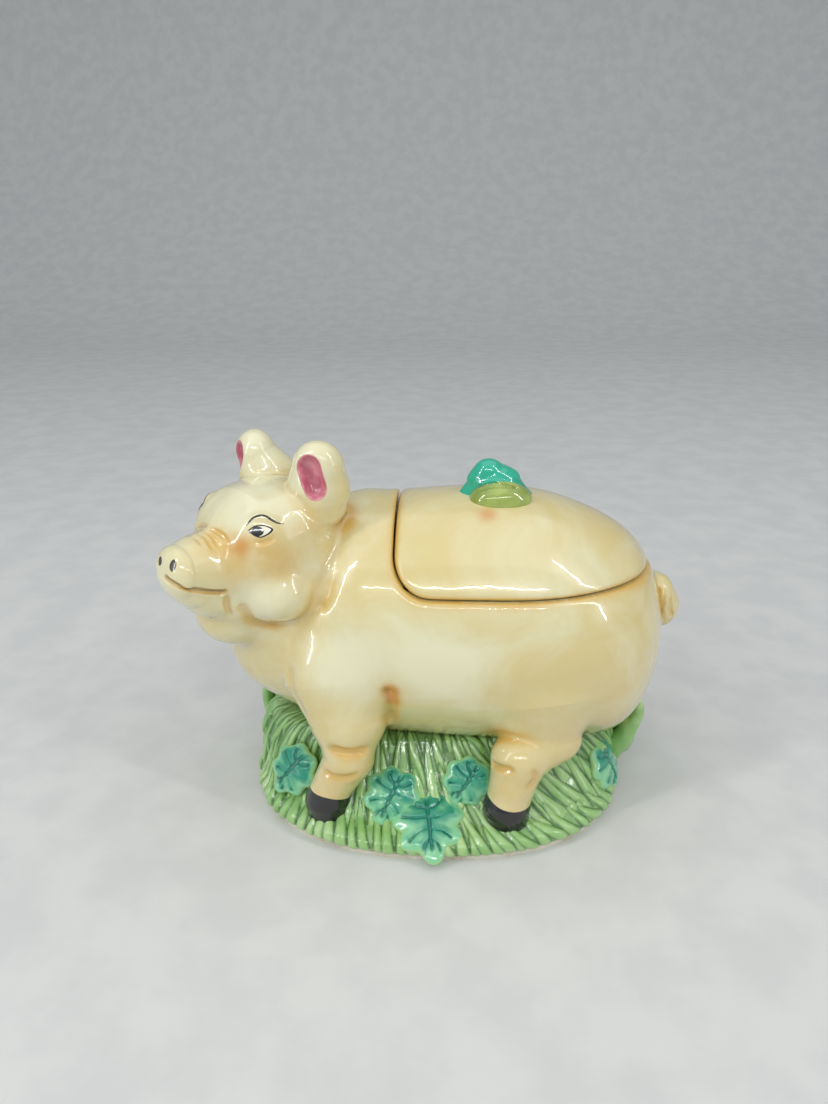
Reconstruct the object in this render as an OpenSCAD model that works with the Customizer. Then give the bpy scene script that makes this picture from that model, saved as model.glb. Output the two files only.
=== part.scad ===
// Pig-shaped glazed jar with a lift-off lid, standing on a grassy foot with leaves.
// Millimetres, +Z up. The table is z = 0, the head looks towards -X and a little towards -Y,
// the tail is at +X, and the origin is under the middle of the jar's outer box.

/* [Trunk] */
// Half the width of the trunk at its widest
trunk_half_w = 44.5; // [42:0.5:46]
// Half the height of the trunk at its tallest
trunk_half_h = 45.5; // [44:0.5:47]
// Height of the trunk's middle above the table
trunk_mid_z = 68; // [66:0.5:69]
// Thickness of the cast wall
wall = 4; // [3:0.5:5]

/* [Lid] */
// Height of the joint between the jar and its lid
seam_z = 88.6; // [87.6:0.5:90.6]
// Where the lid's upright front face stands
lid_front_x = -13.5; // [-15:0.5:-12]
// Radius that turns the lid's lower edge up into its front face
seam_corner = 12; // [8:1:14]
// Gap left between the lid and the jar all the way round
seam_gap = 0.4; // [0.3:0.1:0.6]
// Clearance between the locating rim and the mouth
rim_clear = 1; // [0.8:0.1:1.5]
// How far the locating rim drops into the mouth
rim_drop = 5; // [3:0.5:6]
// Width of the leaf knob from tip to tip
knob_w = 26; // [22:1:28]
// Height of the leaf knob above the lid's crown
knob_h = 12; // [10:0.5:14]

/* [Head] */
// Turn of the head away from straight ahead, in degrees
head_turn = 46; // [40:1:48]
// Lift of the snout, in degrees
head_lift = 4; // [0:1:6]
// Size of the head against its own drawing
head_scale = 1; // [0.95:0.01:1.03]
// Height of an ear from root to tip
ear_h = 20; // [18:1:22]

/* [Legs] */
// Height of a painted hoof
hoof_h = 12; // [10:0.5:13]

/* [Foot] */
// Half the length of the grassy foot
foot_half_l = 68.5; // [66:0.5:70]
// Half the width of the grassy foot
foot_half_w = 55; // [53:0.5:57]
// Height of the foot's upright edge
foot_edge = 7; // [5:0.5:9]
// Height of the bank of grass against the belly
bank_h = 30; // [27:1:32]
// Height of the bare ring that the jar stands on
ring_h = 1.6; // [1:0.2:2.5]
// How far a leaf stands out of the grass
leaf_relief = 2.2; // [1.5:0.1:3]

/* [Hidden] */

cream = "#e9d69a";
glaze_black = "#15151c";
grass_green = "#9fcb6c";
leaf_teal = "#159078";
bare_clay = "#d9d0bd";
blob_fn = 22;
big = 400;

head_at = [-55, -15, 99];

// Ellipsoids that the trunk is drawn round: [x, y, z, rx, ry, rz]
TRUNK = [
  [-57.5, 0, trunk_mid_z - 7, 19.5, 0.58 * trunk_half_w, 0.5 * trunk_half_h],
  [-44, 0, trunk_mid_z - 4, 22, 0.78 * trunk_half_w, 0.73 * trunk_half_h],
  [-28, 0, trunk_mid_z, 24, 0.92 * trunk_half_w, 0.94 * trunk_half_h],
  [-8, 0, trunk_mid_z, 26, 0.98 * trunk_half_w, 0.965 * trunk_half_h],
  [15, 0, trunk_mid_z, 30, trunk_half_w, trunk_half_h],
  [36, 0, trunk_mid_z - 0.5, 28, 0.99 * trunk_half_w, 0.98 * trunk_half_h],
  [50, 0, trunk_mid_z - 3, 25, 0.9 * trunk_half_w, 0.9 * trunk_half_h],
  [59, 0, trunk_mid_z - 5, 21.5, 0.74 * trunk_half_w, 0.83 * trunk_half_h],
  [58, 0, trunk_mid_z - 16, 20, 0.8 * trunk_half_w, 0.65 * trunk_half_h]];

// Head, in its own frame: snout towards -X, crown up
SKULL = [[2, 0, 1, 22, 22, 22], [-6, 0, 0, 20, 21, 21], [-17, 0, -5, 13, 14, 13],
         [-28, 0, -5, 9, 10.5, 9.5], [-37, 0, -2, 5, 9.5, 8]];
JAW = [[4, 0, -10, 18, 19, 15], [-12, 0, -14, 14, 15, 10], [-27, 0, -13, 7, 8.5, 6]];
CHEEK = [[3, 0, -6, 15, 13, 16], [-6, 0, -8, 12, 11, 13]];
BROW = [[-8, 0, 5, 14, 11, 14], [0, 0, 8, 14, 12, 13]];
NECK = [[-68, -21, 79, 14, 15, 13], [-58, -12, 78, 17, 20, 17], [-50, -4, 70, 21, 27, 24],
        [-42, 0, 72, 20, 30, 26]];

// Legs, from shoulder or thigh down to the fetlock, near side seen at -Y
FRONT_LEFT = [[-32, -30, 57, 19, 14, 21], [-29.5, -34, 42, 13, 10.5, 11], [-29.5, -37, 29, 8.4, 8.2, 8.5],
              [-37, -37.5, 15, 6.8, 6.8, 7]];
FRONT_RIGHT = [[-46, 22, 54, 16, 14, 20], [-55, 18, 36, 11, 10, 11], [-59, 17, 26, 9, 8.5, 8],
               [-56, 19, 14, 6.6, 6.6, 7]];
REAR_LEFT = [[36, -27, 50, 22, 17, 22], [38, -31, 34, 12, 9, 9], [29, -37, 30, 9.5, 9, 8],
             [25, -40.5, 14, 7.2, 7, 7]];
REAR_RIGHT = [[38, 27, 50, 22, 17, 22], [48, 30, 34, 12, 9, 9], [46, 34, 28, 9.5, 9, 8],
              [45, 36, 14, 7.2, 7, 7]];

// Leaves: [point on the bank's face, tilt of that face, way it faces, turn of the tip, size]
LEAF_FRONT_LEFT = [[-50.5, -30, 18], 58, -28, -30, 0.85];
LEAF_FRONT_MIDDLE = [[-15, -39.5, 14.5], 48, 0, -25, 1.05];
LEAF_FRONT_RIGHT = [[11, -36.5, 19], 58, 0, -35, 0.78];
LEAF_FRONT_LOW = [[-1, -46.5, 8.4], 16, 0, 8, 1.05];
LEAF_TAIL_END = [[62.5, -17, 14], 65, 60, 10, 0.85];
LEAF_BACK_LEFT = [[-28, 39, 14], 48, 185, 15, 1];
LEAF_BACK_RIGHT = [[18, 39.5, 14.5], 48, 180, -20, 1.05];
LEAF_BACK_LOW = [[-4, 46.5, 8.4], 16, 180, 8, 1.05];

module blob(b, grow = 0, fn = blob_fn) {
  translate([b[0], b[1], b[2]])
    scale([b[3] + grow, b[4] + grow, b[5] + grow])
      sphere(r = 1, $fn = fn);
}

// A run of ellipsoids, each drawn smoothly into the next
module run(blobs, grow = 0) {
  for (i = [0 : len(blobs) - 2])
    hull() {
      blob(blobs[i], grow);
      blob(blobs[i + 1], grow);
    }
}

module trunk_form() { run(TRUNK); }

module trunk_hollow() { run(TRUNK, -wall); }

// Everything above and behind the joint, gap wide clear of the jar
module above_seam(gap) {
  translate([0, big / 2, 0])
    rotate([90, 0, 0])
      linear_extrude(height = big)
        translate([lid_front_x + gap, seam_z + gap])
          union() {
            translate([seam_corner, seam_corner]) circle(r = seam_corner, $fn = 64);
            translate([seam_corner, 0]) square([big, big]);
            translate([0, seam_corner]) square([big, big]);
          }
}

// Outline of the mouth, drawn in by inset
module mouth_outline(inset = 0) {
  offset(delta = -inset)
    intersection() {
      projection(cut = true) translate([0, 0, -seam_z]) trunk_hollow();
      translate([lid_front_x + wall, -big / 2]) square([big, big]);
    }
}

module half_space(low_x, high_x, low_z, high_z) {
  translate([low_x, -big / 2, low_z]) cube([high_x - low_x, big, high_z - low_z]);
}

module jar_body() {
  color(cream)
    difference() {
      trunk_form();
      above_seam(0);
      intersection() {
        trunk_hollow();
        union() {
          half_space(-big, big, 0, seam_z - wall);
          half_space(-big, lid_front_x - wall, 0, big);
        }
      }
      translate([0, 0, seam_z - 2 * wall]) linear_extrude(height = big) mouth_outline();
      neck_passage();
    }
}

module head_frame() {
  translate(head_at) rotate([0, head_lift, head_turn]) scale(head_scale) children();
}

module head_form() {
  head_frame() {
    run(SKULL);
    run(JAW);
    for (side = [-1, 1])
      translate([0, side * 10, 0]) {
        run(CHEEK);
        run(BROW);
      }
  }
  run(NECK);
}

// The hollow that joins the trunk to the head
module neck_passage() {
  run([[-54, -14, 94, 10, 10, 11], [-56, -8, 78, 11, 13, 12], [-46, 0, 72, 13, 15, 14]]);
}

module head() {
  color(cream)
    difference() {
      head_form();
      trunk_form();
      head_frame() run([[2, 0, 1, 17, 17, 17], [-6, 0, -3, 14, 14, 15], [-17, 0, -6, 8, 9, 8]]);
      neck_passage();
    }
}

// One cupped ear, standing on its root and open towards -X
module ear_form() {
  difference() {
    union() {
      hull() {
        blob([4, 0, 0, 9, 8, 5]);
        blob([2, 0, 0.45 * ear_h, 7, 9, 6]);
      }
      hull() {
        blob([2, 0, 0.45 * ear_h, 7, 9, 6]);
        blob([-1, 0, 0.8 * ear_h, 4, 7, 0.25 * ear_h]);
      }
    }
    hull() {
      blob([-5.5, 0, 0.25 * ear_h, 4, 4.5, 4]);
      blob([-5, 0, 0.68 * ear_h, 3.5, 4, 4]);
    }
  }
}

// side is -1 for the left ear, at -Y, and 1 for the right one
module ear(side) {
  color(cream)
    difference() {
      head_frame()
        translate([4, side * 16.5, 15.5]) rotate([side * -8, -4, side * -35]) ear_form();
      head_form();
    }
}

module ear_left() { ear(-1); }

module ear_right() { ear(1); }

module tail() {
  color(cream)
    difference() {
      union() {
        hull() { blob([74, 0, 77, 7, 7, 8]); blob([78, -2, 76, 5.5, 7.5, 7]); }
        hull() { blob([78, -2, 76, 5.5, 7.5, 7]); blob([81.5, -1, 72, 5.5, 7, 7]); }
        hull() { blob([80, 0, 68, 5, 6, 5]); blob([73, 0, 64, 5, 5, 4]); }
      }
      trunk_form();
    }
}

// The plane that parts a hoof from its leg, tipped so that the hoof is taller at its toe
module hoof_zone(leg) {
  fetlock = leg[len(leg) - 1];
  translate([fetlock[0], fetlock[1], foot_edge - 3 + hoof_h])
    rotate([0, -12, 0])
      translate([-big / 2, -big / 2, -big]) cube([big, big, big]);
}

module hoof_form(leg) {
  fetlock = leg[len(leg) - 1];
  hull() {
    translate([fetlock[0], fetlock[1], foot_edge - 3]) cylinder(h = 1, r = 8, $fn = 32);
    blob([fetlock[0] - 0.5, fetlock[1], 11, 8, 7.6, 6]);
  }
}

module leg_form(leg) {
  run(leg);
  hoof_form(leg);
}

module leg(legs) {
  color(cream)
    difference() {
      leg_form(legs);
      hoof_zone(legs);
      trunk_form();
    }
}

module hoof(legs) {
  color(glaze_black)
    intersection() {
      leg_form(legs);
      hoof_zone(legs);
    }
}

module leg_front_left() { leg(FRONT_LEFT); }

module leg_front_right() { leg(FRONT_RIGHT); }

module leg_rear_left() { leg(REAR_LEFT); }

module leg_rear_right() { leg(REAR_RIGHT); }

module hoof_front_left() { hoof(FRONT_LEFT); }

module hoof_front_right() { hoof(FRONT_RIGHT); }

module hoof_rear_left() { hoof(REAR_LEFT); }

module hoof_rear_right() { hoof(REAR_RIGHT); }

// Outline of the foot: an oval a little squarer than an ellipse
function oval_point(a, b, angle, square_up = 2.3) =
  let (c = cos(angle), s = sin(angle), e = 2 / square_up)
    [a * sign(c) * pow(abs(c), e), b * sign(s) * pow(abs(s), e)];

module oval(a, b, points = 72) {
  polygon([for (i = [0 : points - 1]) oval_point(a, b, 360 * i / points)]);
}

module slab(a, b, low, high, points = 72) {
  translate([0, 0, low]) linear_extrude(height = high - low) oval(a, b, points);
}

// The bank of earth and grass: a low pad, and a ridge up to the belly
module bank_form() {
  hull() {
    slab(foot_half_l, foot_half_w, ring_h, foot_edge - 1, 48);
    slab(foot_half_l - 5, foot_half_w - 7, ring_h, foot_edge + 1.5, 48);
  }
  hull() {
    slab(foot_half_l - 1, 0.8 * foot_half_w, ring_h, 0.33 * bank_h, 48);
    slab(foot_half_l - 2, 0.62 * foot_half_w, ring_h, 0.7 * bank_h, 48);
    slab(0.9 * foot_half_l, 0.5 * foot_half_w, ring_h, bank_h, 48);
  }
}

module grass_bank() {
  color(grass_green)
    difference() {
      bank_form();
      hull() {
        slab(0.86 * foot_half_l, 0.55 * foot_half_w, -1, foot_edge - 1, 48);
        slab(0.8 * foot_half_l, 0.48 * foot_half_w, -1, 0.6 * bank_h, 48);
      }
      trunk_form();
      for (one = [FRONT_LEFT, FRONT_RIGHT, REAR_LEFT, REAR_RIGHT]) leg_form(one);
    }
}

module foot_ring() {
  color(bare_clay)
    linear_extrude(height = ring_h)
      difference() {
        oval(foot_half_l - 1.5, foot_half_w - 1.5);
        oval(foot_half_l - 7.5, foot_half_w - 7.5);
      }
}

// Broad blades that stand at one end of the bank, leaning out from root_x to tip_x
module end_grass(root_x, tip_x, across, tip_z, leg) {
  color(grass_green)
    difference() {
      for (y = across)
        hull() {
          blob([root_x, y, 12, 4, 3.5, 6], fn = 12);
          blob([tip_x, 1.05 * y, tip_z - 0.1 * y, 3, 3.6, 8], fn = 12);
        }
      trunk_form();
      bank_form();
      leg_form(leg);
    }
}

module rump_grass() { end_grass(66, 75, [-6 : 6 : 18], 28, REAR_RIGHT); }

module chest_grass() { end_grass(-62, -67, [6 : 6 : 24], 26, FRONT_RIGHT); }

// A broad lobed leaf lying on a slope: tip towards -Y, stalk towards +Y
module leaf_form(size) {
  scale([size, size, 1])
    for (lobe = [[0, -8, 4, 4], [-6, -4, 3.5, 3.5], [6, -4, 3.5, 3.5], [-6.5, 3.5, 4, 4], [6.5, 3.5, 4, 4],
                 [-3, 8, 3.5, 3], [3, 8, 3.5, 3]])
      hull() {
        blob([0, 1, 0, 4, 4, leaf_relief], fn = 10);
        blob([lobe[0], lobe[1], 0, lobe[2], lobe[3], 0.85 * leaf_relief], fn = 10);
      }
}

// at is a point on the bank's face, slope the tilt of that face, turn the way the tip points
module laid_leaf(at, slope, facing, turn, size) {
  translate(at) rotate([0, 0, facing]) rotate([slope, 0, 0]) rotate([0, 0, turn]) leaf_form(size);
}

// A laid leaf, cut clear of the bank, the pig, the listed legs and the leaf that lies over it
module leaf(place, legs = [], over = []) {
  color(leaf_teal)
    difference() {
      laid_leaf(place[0], place[1], place[2], place[3], place[4]);
      bank_form();
      trunk_form();
      for (one = legs) leg_form(one);
      for (one = over) laid_leaf(one[0], one[1], one[2], one[3], one[4]);
      translate([-big / 2, -big / 2, -big]) cube(big);
    }
}

module leaf_front_left() { leaf(LEAF_FRONT_LEFT, [FRONT_LEFT]); }

module leaf_front_middle() { leaf(LEAF_FRONT_MIDDLE, [FRONT_LEFT], [LEAF_FRONT_LOW]); }

module leaf_front_right() { leaf(LEAF_FRONT_RIGHT, [REAR_LEFT]); }

module leaf_front_low() { leaf(LEAF_FRONT_LOW); }

module leaf_tail_end() { leaf(LEAF_TAIL_END); }

module leaf_back_left() { leaf(LEAF_BACK_LEFT); }

module leaf_back_right() { leaf(LEAF_BACK_RIGHT, [REAR_RIGHT], [LEAF_BACK_LOW]); }

module leaf_back_low() { leaf(LEAF_BACK_LOW); }

module lid_shell() {
  color(cream)
    difference() {
      intersection() {
        trunk_form();
        above_seam(seam_gap);
      }
      intersection() {
        trunk_hollow();
        half_space(lid_front_x + wall, big, 0, big);
      }
    }
}

module lid_locating_rim() {
  color(cream)
    intersection() {
      translate([0, 0, seam_z - rim_drop])
        linear_extrude(height = rim_drop + 6)
          difference() {
            mouth_outline(rim_clear);
            mouth_outline(rim_clear + 3);
          }
      trunk_hollow();
    }
}

module lid_knob() {
  crown = trunk_mid_z + trunk_half_h;
  half = knob_w / 2;
  color(leaf_teal)
    difference() {
      translate([20, -3, crown - 2])
        union() {
          hull() {
            blob([0, -4, 0, 0.82 * half, 8, 0.55 * knob_h]);
            blob([0, 3, 1, 0.85 * half, 7, 0.62 * knob_h]);
          }
          hull() {
            blob([0, 3, 1, half, 6, 0.4 * knob_h]);
            blob([-1.5, 2, knob_h - 2, 3.5, 3.5, 4]);
          }
        }
      trunk_form();
    }
}

jar_body();
head();
ear_left();
ear_right();
tail();
leg_front_left();
leg_front_right();
leg_rear_left();
leg_rear_right();
hoof_front_left();
hoof_front_right();
hoof_rear_left();
hoof_rear_right();
grass_bank();
foot_ring();
rump_grass();
chest_grass();
leaf_front_left();
leaf_front_middle();
leaf_front_right();
leaf_front_low();
leaf_tail_end();
leaf_back_left();
leaf_back_right();
leaf_back_low();
lid_shell();
lid_locating_rim();
lid_knob();
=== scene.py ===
"""A pig-shaped lidded jar in painted, glazed earthenware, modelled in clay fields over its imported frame."""

from __future__ import annotations

import logging
import math
from collections.abc import Callable, Iterable, Sequence
from dataclasses import dataclass, field, replace
from enum import Enum

import bpy
import numpy as np
import openvdb
from mathutils import Matrix, Vector


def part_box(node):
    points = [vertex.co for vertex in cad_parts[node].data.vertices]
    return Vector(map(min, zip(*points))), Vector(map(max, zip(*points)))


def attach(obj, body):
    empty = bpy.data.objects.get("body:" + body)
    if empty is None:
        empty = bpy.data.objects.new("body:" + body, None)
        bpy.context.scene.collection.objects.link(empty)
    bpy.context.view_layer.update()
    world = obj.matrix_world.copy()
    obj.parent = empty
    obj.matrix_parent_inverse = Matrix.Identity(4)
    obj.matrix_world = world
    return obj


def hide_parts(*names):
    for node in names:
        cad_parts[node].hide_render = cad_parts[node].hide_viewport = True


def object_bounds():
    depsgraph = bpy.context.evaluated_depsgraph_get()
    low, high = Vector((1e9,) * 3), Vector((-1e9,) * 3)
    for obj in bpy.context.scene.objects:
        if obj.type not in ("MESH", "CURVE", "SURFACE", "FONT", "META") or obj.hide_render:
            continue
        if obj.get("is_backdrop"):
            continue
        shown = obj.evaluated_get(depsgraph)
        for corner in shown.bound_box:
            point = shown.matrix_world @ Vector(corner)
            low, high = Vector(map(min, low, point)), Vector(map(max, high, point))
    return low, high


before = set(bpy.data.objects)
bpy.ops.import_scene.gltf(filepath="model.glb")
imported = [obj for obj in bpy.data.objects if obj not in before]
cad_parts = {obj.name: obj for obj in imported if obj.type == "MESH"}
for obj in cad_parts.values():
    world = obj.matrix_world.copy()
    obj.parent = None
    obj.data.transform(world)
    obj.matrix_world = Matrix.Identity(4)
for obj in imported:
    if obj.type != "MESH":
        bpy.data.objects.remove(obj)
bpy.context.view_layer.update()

log = logging.getLogger("pig_jar")

MM = 0.001
FAR = 60.0
Array = np.ndarray
Point = tuple[float, float, float]
Depth = Callable[[Array], Array]
Shade = "Value | float"


# ---------------------------------------------------------------- clay as distance fields, in millimetres


def join(a: Array, b: Array, soft: float) -> Array:
    """Union of two depths with a fillet.

    Args:
        a: Depth of the first form at each point.
        b: Depth of the second form at each point.
        soft: Reach of the fillet.

    Returns:
        The joined depth.
    """
    blend = np.maximum(soft - np.abs(a - b), 0) / soft
    return np.minimum(a, b) - blend**3 * soft / 6


def cut(a: Array, b: Array, soft: float) -> Array:
    """Takes form b out of form a, with a rounded edge.

    Args:
        a: Depth of the form that stays.
        b: Depth of the form that is taken out.
        soft: Reach of the rounding.

    Returns:
        The depth of what is left.
    """
    return -join(-a, b, soft)


def turning(x: float = 0, y: float = 0, z: float = 0) -> Array:
    """Rotation by angles about X, then Y, then Z.

    Args:
        x: Degrees about X.
        y: Degrees about Y.
        z: Degrees about Z.

    Returns:
        The 3 by 3 rotation.
    """
    turn = Matrix.Rotation(math.radians(z), 3, "Z") @ Matrix.Rotation(math.radians(y), 3, "Y")
    return np.array(turn @ Matrix.Rotation(math.radians(x), 3, "X"), np.float32)


@dataclass(frozen=True)
class Seat:
    """Where a form's own axes sit in the jar's frame."""

    at: Point = (0.0, 0.0, 0.0)
    turn: Array = field(default_factory=lambda: np.eye(3, dtype=np.float32))

    def local(self, points: Array) -> Array:
        """Points of the jar's frame in the seat's own axes."""
        return (points - np.array(self.at, np.float32)) @ self.turn

    def world(self, points: Array) -> Array:
        """Points of the seat's own axes in the jar's frame."""
        return np.asarray(points, np.float32) @ self.turn.T + np.array(self.at, np.float32)

    def then(self, at: Point, turn: Array) -> Seat:
        """A seat placed inside this one.

        Args:
            at: Its origin in this seat's axes.
            turn: Its rotation in this seat's axes.

        Returns:
            The new seat, in the jar's frame.
        """
        origin = self.world(np.array([at]))[0]
        return Seat(tuple(float(v) for v in origin), self.turn @ turn)


@dataclass(frozen=True)
class Limb:
    """A chain of squashed balls, each [x, y, z, rx, ry, rz], drawn into one another."""

    balls: tuple[tuple[float, ...], ...]
    seat: Seat = field(default_factory=Seat)
    soft: float = 2.0

    def near(self, points: Array, margin: float) -> Array:
        """Which points are within a margin of the chain's box.

        Args:
            points: Points in the jar's frame.
            margin: Distance kept round the box.

        Returns:
            A mask over the points.
        """
        centres = np.array([b[:3] for b in self.balls], np.float32)
        reach = np.array([b[3:] for b in self.balls], np.float32).max(1, keepdims=True)
        centres = self.seat.world(centres)
        low, high = (centres - reach).min(0) - margin, (centres + reach).max(0) + margin
        return ((points > low) & (points < high)).all(1)

    def depth(self, points: Array) -> Array:
        """Distance to the chain's skin, negative inside.

        Args:
            points: Points in the jar's frame.

        Returns:
            One depth for each point.
        """
        local = self.seat.local(points)
        balls = [np.array(b, np.float32) for b in self.balls]
        found = None
        for first, last in zip(balls[:-1], balls[1:]) if len(balls) > 1 else [(balls[0], balls[0])]:
            span = last[:3] - first[:3]
            along = (local - first[:3]) @ span / max(float(span @ span), 1e-6)
            along = np.clip(along, 0, 1)[:, None]
            radii = first[3:] + along * (last[3:] - first[3:])
            offset = (local - first[:3] - along * span) / radii
            scaled = np.linalg.norm(offset, axis=1)
            steep = np.linalg.norm(offset / radii, axis=1)
            here = scaled * (scaled - 1) / np.maximum(steep, 1e-6)
            found = here if found is None else join(found, here, self.soft)
        return found


@dataclass(frozen=True)
class Barrel:
    """The trunk: oval ribs [x, mid_z, half_width, half_height] along X, faired into one another."""

    ribs: tuple[tuple[float, ...], ...]
    back: float
    front: float
    fairing: float = 5.0

    def __post_init__(self) -> None:
        """Fairs the ribs once, as three curves along X."""
        rib = np.array(self.ribs)
        middle, half = (self.front + self.back) / 2, (self.back - self.front) / 2
        rounded = np.sqrt(1 - ((rib[:, 0] - middle) / half) ** 2)
        x = np.arange(self.front - 20, self.back + 20, 0.2)
        kernel = np.exp(-0.5 * (np.arange(-80, 81) * 0.2 / self.fairing) ** 2)
        kernel /= kernel.sum()
        curves = []
        for values in (rib[:, 1], rib[:, 2] / rounded, rib[:, 3] / rounded):
            line = np.interp(x, rib[:, 0], values)
            curves.append(np.convolve(np.pad(line, 80, mode="edge"), kernel, "valid").astype(np.float32))
        object.__setattr__(self, "curves", (x.astype(np.float32), *curves))

    def depth(self, points: Array) -> Array:
        """Distance to the trunk's skin, negative inside.

        Args:
            points: Points in the jar's frame.

        Returns:
            One depth for each point.
        """
        x, mid, wide, tall = self.curves
        here = points[:, 0]
        middle, half = (self.front + self.back) / 2, (self.back - self.front) / 2
        width, height = np.interp(here, x, wide), np.interp(here, x, tall)
        offset = np.stack(
            [(here - middle) / half, points[:, 1] / width, (points[:, 2] - np.interp(here, x, mid)) / height], 1
        )
        scaled = np.linalg.norm(offset, axis=1)
        offset /= np.stack([np.full_like(width, half), width, height], 1)
        return (scaled * (scaled - 1) / np.maximum(np.linalg.norm(offset, axis=1), 1e-6)).astype(np.float32)


@dataclass(frozen=True)
class Stroke:
    """A tool mark along a path on the skin: pressed in where push is positive, raised where it is negative."""

    path: tuple[Point, ...]
    push: float
    width: float
    seat: Seat = field(default_factory=Seat)
    fade: float = 0.25

    def line(self) -> Array:
        """The path, rounded through its points, in the jar's frame."""
        knots = self.seat.world(np.array(self.path, np.float32))
        padded = np.concatenate([2 * knots[:1] - knots[1:2], knots, 2 * knots[-1:] - knots[-2:-1]])
        pieces = []
        for i in range(len(knots) - 1):
            a, b, c, d = padded[i : i + 4]
            t = np.linspace(0, 1, 7)[:, None]
            pieces.append(
                0.5 * (2 * b + (c - a) * t + (2 * a - 5 * b + 4 * c - d) * t**2 + (3 * b - a - 3 * c + d) * t**3)
            )
        return np.concatenate(pieces).astype(np.float32)

    def weight(self, points: Array, wider: float = 1.0) -> Array:
        """How strongly the mark is felt at each point.

        Args:
            points: Points in the jar's frame.
            wider: Factor on the mark's width.

        Returns:
            0 far away to 1 on the path, fading at both ends.
        """
        line, width = self.line(), self.width * wider
        felt = np.zeros(len(points), np.float32)
        near = ((points > line.min(0) - 3 * width) & (points < line.max(0) + 3 * width)).all(1)
        if not near.any():
            return felt
        some, best, place = points[near], np.full(near.sum(), np.inf, np.float32), np.zeros(near.sum(), np.float32)
        for i, (a, b) in enumerate(zip(line[:-1], line[1:])):
            span = b - a
            t = np.clip((some - a) @ span / max(float(span @ span), 1e-6), 0, 1)
            gap = np.linalg.norm(some - a - t[:, None] * span, axis=1)
            closer = gap < best
            best[closer], place[closer] = gap[closer], (i + t[closer]) / (len(line) - 1)
        ends = np.clip(np.minimum(place, 1 - place) / max(self.fade, 1e-3), 0, 1)
        felt[near] = np.exp(-((best / width) ** 2)) * ends * ends * (3 - 2 * ends)
        return felt


@dataclass
class Clay:
    """Forms worked into one body of clay: a base, parts joined on, pieces taken out, and tool marks."""

    base: Depth
    parts: dict[str, tuple[list[Limb], float]] = field(default_factory=dict)
    scoops: list[tuple[Limb, float]] = field(default_factory=list)
    strokes: list[Stroke] = field(default_factory=list)

    def part(self, name: str, points: Array) -> Array:
        """Depth of one joined part alone, FAR where it is not near.

        Args:
            name: The part's name.
            points: Points in the jar's frame.

        Returns:
            One depth for each point.
        """
        limbs, _ = self.parts[name]
        out = np.full(len(points), FAR, np.float32)
        for limb in limbs:
            near = limb.near(points, 9)
            if near.any():
                out[near] = join(out[near], limb.depth(points[near]), 5.0)
        return out

    def depth(self, points: Array) -> Array:
        """Depth of the whole worked body.

        Args:
            points: Points in the jar's frame.

        Returns:
            One depth for each point.
        """
        out = self.base(points).astype(np.float32)
        for name, (_, soft) in self.parts.items():
            out = join(out, self.part(name, points), soft)
        for limb, soft in self.scoops:
            near = limb.near(points, 4)
            if near.any():
                out[near] = cut(out[near], limb.depth(points[near]), soft)
        for stroke in self.strokes:
            out += stroke.push * stroke.weight(points)
        return out


def lean(depth: Depth, points: Array, step: float = 0.2) -> tuple[Array, Array]:
    """Depth and outward slope of a field.

    Args:
        depth: The field.
        points: Where it is read.
        step: Spacing of the four readings round each point.

    Returns:
        The depth and the slope vector at each point.
    """
    corners = np.array([(1, -1, -1), (-1, -1, 1), (-1, 1, -1), (1, 1, 1)], np.float32)
    total, slope = np.zeros(len(points), np.float32), np.zeros((len(points), 3), np.float32)
    for corner in corners:
        value = depth(points + corner * step)
        total += value / 4
        slope += value[:, None] * corner / (4 * step)
    return total, slope


def settle(depth: Depth, points: Array, rounds: int = 3) -> tuple[Array, Array]:
    """Moves points onto a field's skin.

    Args:
        depth: The field.
        points: Points near the skin.
        rounds: How many times they are moved.

    Returns:
        The points on the skin, and the unit normals there.
    """
    points = points.astype(np.float32)
    for _ in range(rounds):
        value, slope = lean(depth, points)
        move = value / np.maximum((slope**2).sum(1), 0.04)
        points = points - np.clip(move, -0.7, 0.7)[:, None] * slope
    _, slope = lean(depth, points)
    return points, slope / np.maximum(np.linalg.norm(slope, axis=1, keepdims=True), 1e-6)


def cast(depth: Depth, low: Sequence[float], high: Sequence[float], step: float) -> tuple[Array, Array]:
    """Takes a four-sided mesh off a field, reading it finely only near its skin.

    Args:
        depth: The field.
        low: Lowest corner of the space it fills.
        high: Highest corner of that space.
        step: Size of one face.

    Returns:
        The points, and the faces as four point numbers each.
    """
    low, high = np.array(low, np.float32), np.array(high, np.float32)
    ratio, band = 4, 3 * step
    count = np.ceil((high - low) / (step * ratio)).astype(int) + 1
    blocks = np.stack(np.meshgrid(*[np.arange(n) for n in count], indexing="ij"), -1).reshape(-1, 3)
    coarse = depth((low + step * (ratio * blocks + 1.5)).astype(np.float32)).reshape(count)
    fill, active = np.sign(coarse) * band, np.abs(coarse) < 8.5 * step
    for axis in range(3):
        fill, active = np.repeat(fill, ratio, axis), np.repeat(active, ratio, axis)
    places = np.argwhere(active)
    values = np.concatenate(
        [depth((low + step * places[i : i + 400000]).astype(np.float32)) for i in range(0, len(places), 400000)]
    )
    fill[active] = np.clip(values, -band, band)
    grid = openvdb.FloatGrid(background=band)
    grid.copyFromArray(np.ascontiguousarray(fill, np.float32))
    grid.transform = openvdb.createLinearTransform(voxelSize=step)
    points, faces = grid.convertToQuads(0.0)
    return points.astype(np.float32) + low, faces.astype(np.int64)


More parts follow.
